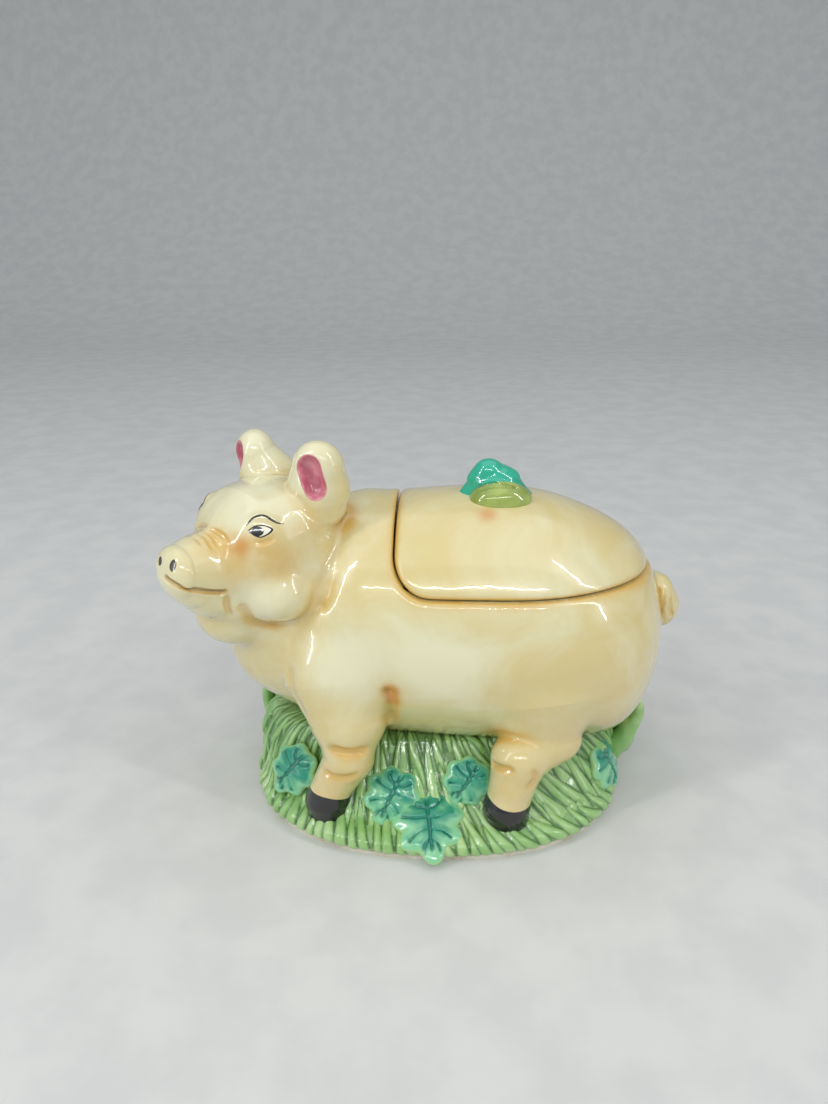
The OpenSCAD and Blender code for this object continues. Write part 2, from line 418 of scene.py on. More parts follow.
@dataclass
class Skin:
    """A surface in millimetres: points, unit normals, faces of three or four points, and painted amounts."""

    points: Array
    normals: Array
    quads: Array
    tris: Array = field(default_factory=lambda: np.zeros((0, 3), np.int64))
    paint: dict[str, Array] = field(default_factory=dict)

    def finer(self, depth: Depth) -> Skin:
        """Each face in four, with the new points moved onto the field.

        Args:
            depth: The field that the surface was taken from.

        Returns:
            The finer surface, its outer edge left where it was.
        """
        edges = np.sort(self.quads[:, [0, 1, 1, 2, 2, 3, 3, 0]].reshape(-1, 2), 1)
        unique, back, uses = np.unique(edges, axis=0, return_inverse=True, return_counts=True)
        back = back.reshape(-1, 4) + len(self.points)
        centre = np.arange(len(self.quads)) + len(self.points) + len(unique)
        added = np.concatenate([self.points[unique].mean(1), self.points[self.quads].mean(1)])
        moved, normals = settle(depth, added, 2)
        rim = np.concatenate([uses == 1, np.zeros(len(self.quads), bool)])
        moved[rim] = added[rim]
        q = self.quads
        faces = [
            np.stack([q[:, i], back[:, i], centre, back[:, i - 1]], 1) for i in range(4)
        ]
        return Skin(np.concatenate([self.points, moved]), np.concatenate([self.normals, normals]), np.concatenate(faces))

    def split(self, labels: Array, names: Sequence[str], reach: float = 0.25) -> dict[str, Skin]:
        """Divides the surface into closed pieces that meet exactly.

        Args:
            labels: For each face, the number of its piece in names.
            names: The pieces' names.
            reach: How far each hidden closing point is drawn towards the smaller piece.

        Returns:
            Each piece's surface by name, closed over every shared edge.
        """
        edges = self.quads[:, [0, 1, 1, 2, 2, 3, 3, 0]].reshape(-1, 2)
        owner = np.repeat(np.arange(len(self.quads)), 4)
        order = np.lexsort(np.sort(edges, 1).T)
        twin = np.full(len(edges), -1)
        twin[order[0::2]], twin[order[1::2]] = order[1::2], order[0::2]
        other = labels[owner[twin]]
        mine = labels[owner]
        middle = {n: self.points[self.quads[labels == n]].mean((0, 1)) for n in np.unique(labels)}
        size = {n: (labels == n).sum() for n in np.unique(labels)}
        pieces = {}
        for number in np.unique(labels):
            quads = self.quads[labels == number]
            points, normals, tris = [self.points], [self.normals], []
            total = len(self.points)
            for rival in np.unique(other[(mine == number) & (other != number)]):
                rim = edges[(mine == number) & (other == rival)]
                small = number if size[number] < size[rival] else rival
                ring = self.points[rim[:, 0]].mean(0)
                hidden = ring + reach * (middle[small] - ring)
                points.append(hidden[None].astype(np.float32))
                normals.append(np.array([[0, 0, 1]], np.float32))
                tris.append(np.stack([rim[:, 1], rim[:, 0], np.full(len(rim), total)], 1))
                total += 1
            tris = np.concatenate(tris) if tris else np.zeros((0, 3), np.int64)
            whole = Skin(np.concatenate(points), np.concatenate(normals), quads, tris)
            pieces[names[number]] = whole.packed()
        return pieces

    def packed(self) -> Skin:
        """The same surface without its unused points."""
        used = np.unique(np.concatenate([self.quads.ravel(), self.tris.ravel()]))
        place = np.zeros(len(self.points), np.int64)
        place[used] = np.arange(len(used))
        paint = {name: amount[used] for name, amount in self.paint.items()}
        return Skin(self.points[used], self.normals[used], place[self.quads], place[self.tris], paint)

    def piece(self, name: str, body: str, nodes: Iterable[str], slot: str, finish: bpy.types.Material) -> bpy.types.Object:
        """Makes the surface a piece of the jar.

        Args:
            name: The piece's name.
            body: The body it rides on.
            nodes: The solids it stands for.
            slot: The record's slot for its finish; not used.
            finish: Its material.

        Returns:
            The new object.
        """
        mesh = bpy.data.meshes.new(name)
        corners = np.concatenate([self.quads.ravel(), self.tris.ravel()]).astype(np.int32)
        starts = np.concatenate(
            [np.arange(len(self.quads)) * 4, len(self.quads) * 4 + np.arange(len(self.tris)) * 3]
        ).astype(np.int32)
        mesh.vertices.add(len(self.points))
        mesh.vertices.foreach_set("co", (self.points * MM).astype(np.float32).ravel())
        mesh.loops.add(len(corners))
        mesh.loops.foreach_set("vertex_index", corners)
        mesh.polygons.add(len(starts))
        mesh.polygons.foreach_set("loop_start", starts)
        mesh.polygons.foreach_set("vertices", corners)
        mesh.update(calc_edges=True)
        mesh.validate()
        mesh.shade_smooth()
        mesh.normals_split_custom_set_from_vertices(self.normals.astype(float).tolist())
        for amount_name, amount in self.paint.items():
            layer = mesh.attributes.new(amount_name, "FLOAT", "POINT")
            layer.data.foreach_set("value", amount.astype(np.float32))
        mesh.materials.append(finish)
        made = bpy.data.objects.new(name, mesh)
        bpy.context.scene.collection.objects.link(made)
        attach(made, body)
        nodes = list(nodes)
        if nodes:
            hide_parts(*nodes)
        log.info("%s: %d faces, rides on %s", name, len(mesh.polygons), body)
        return made


# ---------------------------------------------------------------- finishes


@dataclass
class Bench:
    """Lays out the nodes of one material."""

    name: str

    def __post_init__(self) -> None:
        """Starts an empty material with its output."""
        self.material = bpy.data.materials.new(self.name)
        self.material.use_nodes = True
        self.tree = self.material.node_tree
        self.tree.nodes.clear()
        self.output = self.tree.nodes.new("ShaderNodeOutputMaterial")

    def node(self, kind: str, settings: dict[str, object], **sockets: object) -> bpy.types.Node:
        """Adds a node.

        Args:
            kind: The node's type after "ShaderNode".
            settings: Its properties, set first; "stops" holds a ramp's (place, colour) pairs.
            sockets: Values or links by socket name, with spaces as underscores, or "at" and a number.

        Returns:
            The node.
        """
        made = self.tree.nodes.new("ShaderNode" + kind)
        for key, value in settings.items():
            if key == "stops":
                while len(made.color_ramp.elements) < len(value):
                    made.color_ramp.elements.new(0.5)
                for stop, (place, colour) in zip(made.color_ramp.elements, value):
                    stop.position, stop.color = place, (*colour, 1)
            else:
                setattr(made, key, value)
        for key, value in sockets.items():
            number = key.removeprefix("at")
            socket = made.inputs[int(number)] if number.isdigit() else made.inputs[key.replace("_", " ")]
            if isinstance(value, Value):
                self.tree.links.new(value.socket, socket)
            elif isinstance(value, tuple) and len(value) == 3 and socket.type == "RGBA":
                socket.default_value = (*value, 1)
            else:
                socket.default_value = value
        return made

    def painted(self, name: str) -> Value:
        """The amount painted on the skin under that name."""
        return Value(self, self.node("Attribute", {"attribute_name": name}).outputs["Fac"])

    def place(self) -> Value:
        """Where the point is on the object, in metres."""
        return Value(self, self.node("TexCoord", {}).outputs["Object"])

    def noise(self, per_metre: float, detail: float = 3.0, rough: float = 0.55, warp: float = 0.0) -> Value:
        """Cloudy variation fixed to the clay.

        Args:
            per_metre: Clouds in a metre.
            detail: How many finer octaves.
            rough: Weight of the finer octaves.
            warp: Distortion of the clouds.

        Returns:
            A value about one half.
        """
        made = self.node(
            "TexNoise", {}, Vector=self.place(), Scale=per_metre, Detail=detail, Roughness=rough, Distortion=warp
        )
        return Value(self, made.outputs[0])

    def mix(self, first: object, second: object, amount: object) -> Value:
        """A colour between two.

        Args:
            first: The colour where amount is 0.
            second: The colour where amount is 1.
            amount: How far towards the second.

        Returns:
            The mixed colour.
        """
        made = self.node("Mix", {"data_type": "RGBA", "clamp_factor": True}, at0=amount, at6=first, at7=second)
        return Value(self, made.outputs[2])

    def ramp(self, amount: Value, low: float, high: float) -> Value:
        """A smooth rise from 0 at low to 1 at high.

        Args:
            amount: What is read.
            low: Where the rise begins.
            high: Where it is full.

        Returns:
            The risen value.
        """
        made = self.node(
            "MapRange", {"interpolation_type": "SMOOTHSTEP"}, Value=amount, From_Min=low, From_Max=high
        )
        return Value(self, made.outputs[0])

    def glaze(self, colour: Value, rough: object, gloss: Gloss, height: Value | None = None) -> bpy.types.Material:
        """Finishes the material as a glaze.

        Args:
            colour: Its colour.
            rough: Its roughness.
            gloss: The clear coat and the depth of its waviness.
            height: What the bump is read from.

        Returns:
            The material.
        """
        shader = self.node(
            "BsdfPrincipled", {}, Base_Color=colour, Roughness=rough, IOR=gloss.bend,
            Coat_Weight=gloss.coat, Coat_Roughness=gloss.coat_rough, Coat_IOR=1.5,
        )
        if height is not None:
            bump = self.node("Bump", {}, Strength=gloss.wave, Distance=gloss.wave_depth, Height=height)
            self.tree.links.new(bump.outputs[0], shader.inputs["Normal"])
            self.tree.links.new(bump.outputs[0], shader.inputs["Coat Normal"])
        self.tree.links.new(shader.outputs[0], self.output.inputs[0])
        return self.material


@dataclass(frozen=True)
class Value:
    """A shader socket that takes part in Python expressions."""

    bench: Bench
    socket: bpy.types.NodeSocket

    def _with(self, how: str, *others: object) -> Value:
        """Adds one Math node over this value and others."""
        settings = {"operation": how}
        sockets = {f"at{i}": other for i, other in enumerate((self, *others))}
        return Value(self.bench, self.bench.node("Math", settings, **sockets).outputs[0])

    def __add__(self, other: Shade) -> Value:
        """This plus other."""
        return self._with("ADD", other)

    def __radd__(self, other: Shade) -> Value:
        """Other plus this."""
        return self._with("ADD", other)

    def __mul__(self, other: Shade) -> Value:
        """This times other."""
        return self._with("MULTIPLY", other)

    def __rmul__(self, other: Shade) -> Value:
        """Other times this."""
        return self._with("MULTIPLY", other)

    def __sub__(self, other: Shade) -> Value:
        """This less other."""
        return self._with("SUBTRACT", other)

    def __rsub__(self, other: Shade) -> Value:
        """Other less this."""
        settings = {"operation": "SUBTRACT"}
        return Value(self.bench, self.bench.node("Math", settings, at0=other, at1=self).outputs[0])

    def clamped(self) -> Value:
        """This value kept from 0 to 1."""
        return self._with("MAXIMUM", 0.0)._with("MINIMUM", 1.0)


@dataclass(frozen=True)
class Gloss:
    """How a glaze shines: coat, its roughness, refraction, and the waviness left by the brush."""

    coat: float = 1.0
    coat_rough: float = 0.03
    bend: float = 1.5
    wave: float = 0.5
    wave_depth: float = 0.0004


def srgb(code: str) -> tuple[float, float, float]:
    """A paint colour from its hex code.

    Args:
        code: Six hex digits.

    Returns:
        The colour in linear light.
    """
    parts = [int(code[i : i + 2], 16) / 255 for i in (0, 2, 4)]
    return tuple(c / 12.92 if c < 0.04045 else ((c + 0.055) / 1.055) ** 2.4 for c in parts)


@dataclass(frozen=True)
class CreamGlaze:
    """Pale yellow glaze with gold and rust sprayed into the folds, pink ears and black hooves; the gold deep in the
    folds is partly painted shade.
    """

    pale: str = "E9E4BE"
    cream: str = "DCCA8B"
    gold: str = "D8AE52"
    rust: str = "D28C30"
    pink: str = "D98A92"
    rose: str = "B8506A"
    olive: str = "7A5E2C"
    black: str = "060607"
    gloss: Gloss = field(default_factory=Gloss)

    def material(self) -> bpy.types.Material:
        """Builds the material."""
        bench = Bench("cream_glaze")
        clouds, patches = bench.noise(28, 4, 0.6, 0.6), bench.noise(75, 3, 0.6)
        streaks = bench.noise(180, 2, 0.6)
        gold, rust = bench.painted("gold"), bench.painted("rust")
        pale = bench.painted("pale")
        wash = bench.noise(20, 4, 0.62, 0.8)
        colour = bench.mix(srgb(self.cream), srgb(self.pale), bench.ramp(clouds + pale * 0.4, 0.36, 0.84))
        # The gold amount is sprayed gold and also painted shade, strongest deep in the creases.
        haze = bench.ramp(gold * (patches * 1.3 + 0.35) + (wash - 0.42) * 0.9 - pale * 0.25, 0.05, 1.05)
        colour = bench.mix(colour, srgb(self.gold), haze * 0.85)
        colour = bench.mix(colour, srgb(self.rust), bench.ramp(rust * (patches + 0.55), 0.12, 1.1) * 0.85)
        colour = bench.mix(colour, srgb(self.olive), bench.ramp(bench.painted("line"), 0.25, 0.9) * 0.8)
        cup = bench.mix(srgb(self.pink), srgb(self.rose), bench.ramp(streaks, 0.42, 0.66) * 0.8)
        colour = bench.mix(colour, cup, bench.ramp(bench.painted("pink") + streaks * 0.2, 0.4, 0.75))
        ink = bench.ramp(bench.painted("ink") + (streaks - 0.5) * 0.6, -0.12, 0.12)
        colour = bench.mix(colour, srgb(self.black), ink)
        height = bench.noise(120, 2, 0.5) * 0.6 + bench.noise(420, 1, 0.5) * 0.12
        return bench.glaze(colour, patches * 0.1 + 0.18, self.gloss, height)


@dataclass(frozen=True)
class GrassGlaze:
    """Light green washed over the blades, darker green left in the cuts, a thin pale rim at the foot, a pale wash on
    the crests that is partly painted highlight, and painted shade towards the top of the bank.
    """

    light: str = "A2CB82"
    bright: str = "86B966"
    dark: str = "3E6E2F"
    wash: str = "C6DDA4"
    gloss: Gloss = field(default_factory=lambda: Gloss(coat_rough=0.1, wave=0.3))

    def material(self) -> bpy.types.Material:
        """Builds the material."""
        bench = Bench("grass_glaze")
        clouds, fine = bench.noise(60, 3, 0.6), bench.noise(260, 3, 0.6)
        crest, rim = bench.painted("crest"), bench.painted("rim")
        colour = bench.mix(srgb(self.bright), srgb(self.light), bench.ramp(clouds, 0.35, 0.65))
        # The crest amount also carries painted shade, lower towards the top of the bank under the belly.
        colour = bench.mix(srgb(self.dark), colour, bench.ramp(crest + (fine - 0.5) * 0.12, 0.0, 0.75))
        # Pale wash on the crests: partly thin glaze on the ridges, partly painted highlight.
        colour = bench.mix(colour, srgb(self.wash), bench.ramp(crest * clouds, 0.46, 0.8) * 0.6)
        colour = bench.mix(colour, srgb(self.wash), bench.ramp(rim + (fine - 0.5) * 0.3, 0.45, 0.9))
        return bench.glaze(colour, fine * 0.1 + 0.16, self.gloss, clouds * 0.5 + fine * 0.2)


@dataclass(frozen=True)
class LeafGlaze:
    """Teal run into the veins, mint and yellow-green where it is thin on the raised edges."""

    mint: str = "86CF9A"
    teal: str = "149276"
    deep: str = "0B655A"
    lime: str = "A9D083"
    gloss: Gloss = field(default_factory=Gloss)

    def material(self) -> bpy.types.Material:
        """Builds the material."""
        bench = Bench("leaf_glaze")
        clouds, fine = bench.noise(110, 3, 0.6, 0.5), bench.noise(330, 3, 0.6)
        vein, edge, stalk = bench.painted("vein"), bench.painted("edge"), bench.painted("stalk")
        wash = bench.ramp(clouds + edge * 0.35 - bench.painted("run") * 0.3 - stalk * 0.3, 0.0, 0.5)
        colour = bench.mix(srgb(self.teal), srgb(self.mint), wash)
        colour = bench.mix(colour, srgb(self.lime), bench.ramp(edge + (fine - 0.5) * 0.6, 0.55, 1.0) * 0.8)
        colour = bench.mix(colour, srgb(self.deep), bench.ramp(vein + (fine - 0.5) * 0.2, 0.4, 0.95) * 0.65)
        return bench.glaze(colour, fine * 0.1 + 0.12, self.gloss, clouds * 0.4 + fine * 0.2)


@dataclass(frozen=True)
class KnobGlaze:
    """Bright teal over the knob's hood and olive green on its face."""

    teal: str = "16B08F"
    blue: str = "0E8A76"
    olive: str = "86993C"
    lime: str = "A6B95C"
    gloss: Gloss = field(default_factory=Gloss)

    def material(self) -> bpy.types.Material:
        """Builds the material."""
        bench = Bench("knob_glaze")
        clouds, fine = bench.noise(110, 2, 0.5), bench.noise(400, 2, 0.5)
        face, edge = bench.painted("face"), bench.painted("edge")
        hood = bench.mix(srgb(self.blue), srgb(self.teal), bench.ramp(clouds + edge * 0.4, 0.35, 0.62))
        front = bench.mix(srgb(self.olive), srgb(self.lime), bench.ramp(clouds, 0.4, 0.65))
        colour = bench.mix(hood, front, bench.ramp(face + (fine - 0.5) * 0.3, 0.35, 0.65))
        return bench.glaze(colour, fine * 0.1 + 0.14, self.gloss, clouds * 0.4)


@dataclass(frozen=True)
class BareClay:
    """Unglazed white earthenware with a little grit and soil on the foot."""

    clay: str = "E6DFCF"
    soil: str = "B5A78E"

    def material(self) -> bpy.types.Material:
        """Builds the material."""
        bench = Bench("bare_clay")
        clouds, grit = bench.noise(70, 4, 0.6), bench.noise(1500, 3, 0.7)
        colour = bench.mix(srgb(self.clay), srgb(self.soil), bench.ramp(clouds * 0.6 + grit * 0.4, 0.42, 0.75))
        gloss = Gloss(coat=0.0, wave=0.6, wave_depth=0.0002)
        return bench.glaze(colour, grit * 0.2 + 0.7, gloss, grit)


@dataclass(frozen=True)
class Enamel:
    """Thick brush colour for the face, fired under the shine."""

    name: str
    colour: str
    thin: str
    coat: float = 1.0

    def material(self) -> bpy.types.Material:
        """Builds the material."""
        bench = Bench(self.name)
        brush = bench.noise(400, 2, 0.5)
        colour = bench.mix(srgb(self.colour), srgb(self.thin), bench.ramp(brush, 0.5, 0.8) * 0.4)
        return bench.glaze(colour, brush * 0.1 + 0.14, Gloss(coat=self.coat, wave=0.0), None)


# ---------------------------------------------------------------- the pig


def spread(points: Array, spots: Iterable[tuple[float, float, float, float, float]]) -> Array:
    """Sprayed colour: soft round spots added together.

    Args:
        points: Where it is read.
        spots: Each spot's centre, radius and strength.

    Returns:
        The amount at each point.
    """
    total = np.zeros(len(points), np.float32)
    for x, y, z, radius, strength in spots:
        gap = ((points - np.array((x, y, z), np.float32)) ** 2).sum(1)
        total += strength * np.exp(-gap / radius**2)
    return total


class Side(Enum):
    """A side of the pig's own body."""

    LEFT = -1
    RIGHT = 1


@dataclass
class Pig:
    """The pig: trunk, head, ears, legs and tail as one worked body of clay, and the hollow jar in it."""

    wall: float = 4.0
    seam_z: float = 88.6
    lid_front: float = -13.5
    lip_fade: float = 0.12
    seam_corner: float = 12.0
    seam_gap: float = 0.4
    step: float = 0.9
    head_at: Point = (-55.0, -15.0, 99.0)
    head_turn: float = 46.0
    head_lift: float = 4.0
    ribs: tuple[tuple[float, ...], ...] = (
        (-70, 61.0, 19.8, 17.5), (-60, 62.7, 27.1, 25.3), (-45, 65.7, 35.3, 35.4), (-28, 68.0, 41.0, 42.8),
        (-8, 68.0, 43.6, 43.9), (15, 68.0, 44.5, 45.5), (36, 67.5, 44.1, 44.6), (52, 65.2, 40.1, 41.4),
        (64, 61.9, 34.0, 38.1), (74, 62.2, 23.6, 27.9),
    )
    skull: tuple[tuple[float, ...], ...] = (
        (2, 0, 1, 22, 22, 22), (-6, 0, 0, 20, 21, 21), (-17, 0, -3.6, 13, 14, 13), (-28, -0.6, -2.4, 9, 11, 10.2),
        (-36.5, -1.6, -1.3, 5.4, 9.6, 8.2),
    )
    jaw: tuple[tuple[float, ...], ...] = (
        (4, 0, -10, 18, 19, 15), (-12, 0, -14, 14, 15, 10), (-26, -0.5, -11.8, 7.4, 8.8, 5.8), (-32, -1.2, -8.8, 5.6, 8.2, 4.2),
    )
    jowl: tuple[float, ...] = (-7, 6, -11, 10, 9.4, 9)
    nape: tuple[tuple[float, ...], ...] = ((-46, -8, 97, 12, 15, 14), (-26, 0, 92.4, 15, 26, 19.2))
    cheek: tuple[tuple[float, ...], ...] = ((3, 0, -6, 15, 13, 16), (-6, 0, -8, 12, 11, 13))
    brow: tuple[tuple[float, ...], ...] = ((-8, 0, 5, 14, 11, 14), (0, 0, 8, 14, 12, 13))
    neck: tuple[tuple[float, ...], ...] = (
        (-68, -21, 79, 14, 15, 13), (-58, -12, 78, 17, 20, 17), (-50, -4, 70, 21, 27, 24), (-42, 0, 72, 20, 30, 26),
    )
    ear: tuple[tuple[float, ...], ...] = ((6.5, 0, -1, 12, 9.5, 7), (5, 0, 6.6, 9.8, 9.6, 7.6), (1.8, 0, 14, 7, 8.4, 8.4))
    ear_cup: tuple[tuple[float, ...], ...] = ((-5.6, -1.7, 8.8, 4.6, 3.1, 3.5), (-5.2, 1.5, 14.8, 4.6, 3.9, 4.0))
    ear_seat: dict[str, tuple[float, float]] = field(default_factory=lambda: {"LEFT": (15.5, 35.0), "RIGHT": (13.4, -24.0)})
    legs: dict[str, tuple[tuple[float, ...], ...]] = field(
        default_factory=lambda: {
            "front_left": ((-32, -30, 57, 19, 14, 21), (-29.5, -34, 42, 13, 10.5, 11), (-29.5, -37, 29, 8.4, 8.2, 8.5),
                           (-37, -37.5, 15, 6.8, 6.8, 7)),
            "front_right": ((-46, 22, 54, 16, 14, 20), (-55, 18, 36, 11, 10, 11), (-59, 17, 26, 9, 8.5, 8),
                            (-56, 19, 14, 6.6, 6.6, 7)),
            "rear_left": ((36, -27, 50, 22, 17, 22), (38, -31, 34, 12, 9, 9), (29, -37, 30, 9.5, 9, 8),
                          (25, -40.5, 14, 7.2, 7, 7)),
            "rear_right": ((38, 27, 50, 22, 17, 22), (48, 30, 34, 12, 9, 9), (46, 34, 28, 9.5, 9, 8),
                           (45, 36, 14, 7.2, 7, 7)),
        }
    )
    tail: tuple[tuple[tuple[float, ...], ...], ...] = (
        ((73, 0, 77, 7.5, 7, 8), (78.5, -2, 75.4, 5.5, 7.2, 7.6), (81.2, -1, 72, 5.4, 6.6, 7)),
        ((80, 0, 68, 5, 6, 5), (73, 0, 65, 5, 5, 4)),
    )

    def __post_init__(self) -> None:
        """Works the forms together."""
        self.head_seat = Seat(self.head_at, turning(0, self.head_lift, self.head_turn))
        self.trunk = Barrel(self.ribs, back=80.5, front=-77.0)
        seat = self.head_seat
        head = [Limb(self.skull, seat, 6.0), Limb(self.jaw, seat, 6.0), Limb(self.neck, soft=6.0)]
        self.ear_seats = {}
        for side in Side:
            beside = seat.then((0, side.value * 10, 0), np.eye(3, dtype=np.float32))
            x, y, z, *radii = self.jowl
            head += [Limb(self.cheek, beside), Limb(self.brow, beside), Limb(((x, side.value * y, z, *radii),), beside)]
            up, facing = self.ear_seat[side.name]
            self.ear_seats[side] = seat.then((4, side.value * 16.5, up), turning(side.value * -8, -4, facing))
        parts = {"head": (head, 5.0)}
        for name, balls in self.legs.items():
            x, y, z = balls[-1][:3]
            hoof = ((x - 0.5, y, 11, 8, 7.6, 6), (x, y, 4, 8, 8, 4))
            parts[f"leg_{name}"] = ([Limb(balls, soft=3.0), Limb(hoof)], 4.0)
        parts["tail"] = ([Limb(run) for run in self.tail], 2.0)
        for side in Side:
            parts[f"ear_{side.name.lower()}"] = ([Limb(self.ear, self.ear_seats[side], 4.0)], 3.0)
        self.cups = [
            Limb(tuple((x, -side.value * y, *rest) for x, y, *rest in self.ear_cup), self.ear_seats[side]) for side in Side
        ]
        scoops = [(cup, 2.0) for cup in self.cups]
        self.clay = Clay(self.torso, parts, scoops)
        self.clay.strokes = [self.pressed(mark) for mark in self.strokes()]
        self.lips = [mark for mark in self.clay.strokes if mark.fade == self.lip_fade]

    def pressed(self, mark: Stroke) -> Stroke:
        """The mark with its path brought to the bottom of its own groove in the skin."""
        knots, normals = settle(self.clay.depth, mark.seat.world(mark.path), 6)
        sunk = knots - normals * (0.6 * mark.push)
        return replace(mark, path=tuple(tuple(float(v) for v in knot) for knot in sunk), seat=Seat())

    def torso(self, points: Array) -> Array:
        """Depth of the trunk with the collar that rises to the nape."""
        out, collar = self.trunk.depth(points), Limb(self.nape, soft=6.0)
        near = collar.near(points, 9)
        if near.any():
            out[near] = join(out[near], collar.depth(points[near]), 6.0)
        return out

    def strokes(self) -> list[Stroke]:
        """The folds and wrinkles pressed into the clay."""
        seat, marks = self.head_seat, []
        for side in Side:
            flip = -side.value
            on_head = (
                (((-42, -2.6, -0.4), (-41.6, -5, -1.8), (-40, -8, -3), (-36, -9.5, -4.5), (-31.5, -10.5, -6),
                  (-27.5, -11, -7), (-24.5, -11.8, -7)), 1.4, 0.85, self.lip_fade),
                (((-25.5, -11.5, -6.5), (-25, -10.5, -11.5), (-24, -10, -15), (-22, -9, -18.5)), 0.9, 1.0, 0.3),
                (((-22.5, -12.8, -10), (-21, -12.5, -13), (-19.5, -12.5, -16), (-16.5, -11.5, -20), (-12.5, -12, -22),
                  (-8.5, -14, -22.5), (-5.5, -17.5, -20.5)), 1.5, 1.8, 0.3),
                (((-23.6, 1, 9), (-23.2, -3.5, 9.4), (-22.8, -7.5, 8.6), (-22.6, -10.5, 6.5)), 0.7, 0.8, 0.35),
                (((-25.4, 1, 8.2), (-25.2, -3.5, 8), (-25.4, -6.5, 6.6), (-25, -9.4, 4)), 0.6, 0.7, 0.35),
                (((-27.4, 1, 7.8), (-27.2, -3.5, 7.4), (-27.6, -6.5, 5.8), (-27.4, -8.8, 3.2)), 0.5, 0.7, 0.35),
                (((-29.8, 0.4, 7.4), (-29.6, -3.4, 6.8), (-30, -6.4, 5)), 0.4, 0.7, 0.4),
                (((-19.6, -15.4, 9.6), (-17, -18.4, 8.6), (-14, -19.8, 9.4), (-11.6, -20.4, 11)), 0.5, 0.9, 0.35),
                (((-19, -14.2, 14.2), (-16.4, -15, 16.8), (-13, -17.4, 16.4), (-9.6, -19.8, 14.2)), -0.7, 1.6, 0.3),
            )
            for path, push, width, fade in on_head:
                marks.append(Stroke(tuple((x, y * flip, z) for x, y, z in path), push, width, seat, fade))
        on_body = (
            (((-37, -43, 38), (-33, -44.5, 36.4), (-28.5, -44.5, 35.6), (-24.5, -43.5, 35.6), (-21, -41, 37)), 2.0, 1.9),
            (((-37.5, -41.5, 28), (-36, -43, 26.6), (-32.5, -44.5, 26.4), (-28, -44.5, 27), (-24.5, -43, 29)), 0.8, 1.3),
            (((-15.6, -42, 61), (-14.6, -41, 57), (-14, -39.5, 52), (-14.4, -36, 46), (-15, -33, 40)), 1.6, 2.2),
            (((18, -39, 29), (20, -41, 29.5), (23.5, -45, 30.6), (28, -46.5, 31)), 1.2, 1.4),
            (((31.5, -44, 32), (33, -44, 27.5), (30, -45, 22.5)), 0.7, 1.3),
            (((-46.5, -36.5, 66.5), (-47.5, -37, 60), (-46, -37, 52), (-41, -38, 45)), 1.0, 2.4),
            (((-39, -34.5, 82.5), (-35.5, -34, 86.5), (-34, -32.5, 90.5), (-32.5, -29, 95.5)), 1.0, 2.2),
        )
        for path, push, width in on_body:
            marks.append(Stroke(path, push, width))
            if path[0][2] > 50:
                marks.append(Stroke(tuple((x, -y, z) for x, y, z in path[: 3 if path[0][0] > -30 else 2]), push, width))
        curl = (
            (((77.6, -6.8, 82), (76.4, -8.4, 77.5), (77, -8.6, 72.5), (79, -7.2, 68)), 1.1, 0.9),
            (((82.2, -5.4, 80), (82, -7.6, 75.5), (82.6, -7, 71), (84, -4.6, 67.6)), 0.9, 0.8),
            (((79.6, -6.4, 81.4), (79, -8.4, 77), (79.4, -8.6, 72.6)), 0.4, 0.6),
        )
        marks += [Stroke(path, push, width) for path, push, width in curl]
        marks += [Stroke(tuple((x, -y - 3, z) for x, y, z in path), push, width) for path, push, width in curl]
        return marks

    def lid_zone(self, points: Array) -> Array:
        """Distance from the space that the lid takes, negative inside it.

        Args:
            points: Points in the jar's frame.

        Returns:
            One distance for each point.
        """
        under = self.seam_z + self.seam_corner - points[:, 2]
        before = self.lid_front + self.seam_corner - points[:, 0]
        outside = np.hypot(np.maximum(under, 0), np.maximum(before, 0))
        return np.minimum(np.maximum(under, before), 0) + outside - self.seam_corner

    def mouth(self, points: Array) -> Array:
        """Distance in plan from the mouth's edge, negative inside the mouth.

        Args:
            points: Points in the jar's frame.

        Returns:
            One distance for each point.
        """
        level = points.copy()
        level[:, 2] = self.seam_z
        return np.maximum(self.trunk.depth(level) + self.wall, self.lid_front + self.wall - points[:, 0])

    def hollow(self, points: Array) -> Array:
        """Depth of the jar's inside, negative in the open space.

        Args:
            points: Points in the jar's frame.

        Returns:
            One depth for each point.
        """
        below = points[:, 2] - (self.seam_z - self.wall)
        ahead = points[:, 0] - (self.lid_front - self.wall)
        room = np.maximum(self.trunk.depth(points) + self.wall, np.minimum(below, ahead))
        mouth = np.maximum(self.mouth(points), self.seam_z - 2 * self.wall - points[:, 2])
        return join(room, mouth, 1.5)

    def jar(self, points: Array) -> Array:
        """Depth of the jar's clay with its mouth and hollow."""
        outer = cut(self.clay.depth(points), self.lid_zone(points), 2.2)
        return cut(outer, self.hollow(points), 1.5)

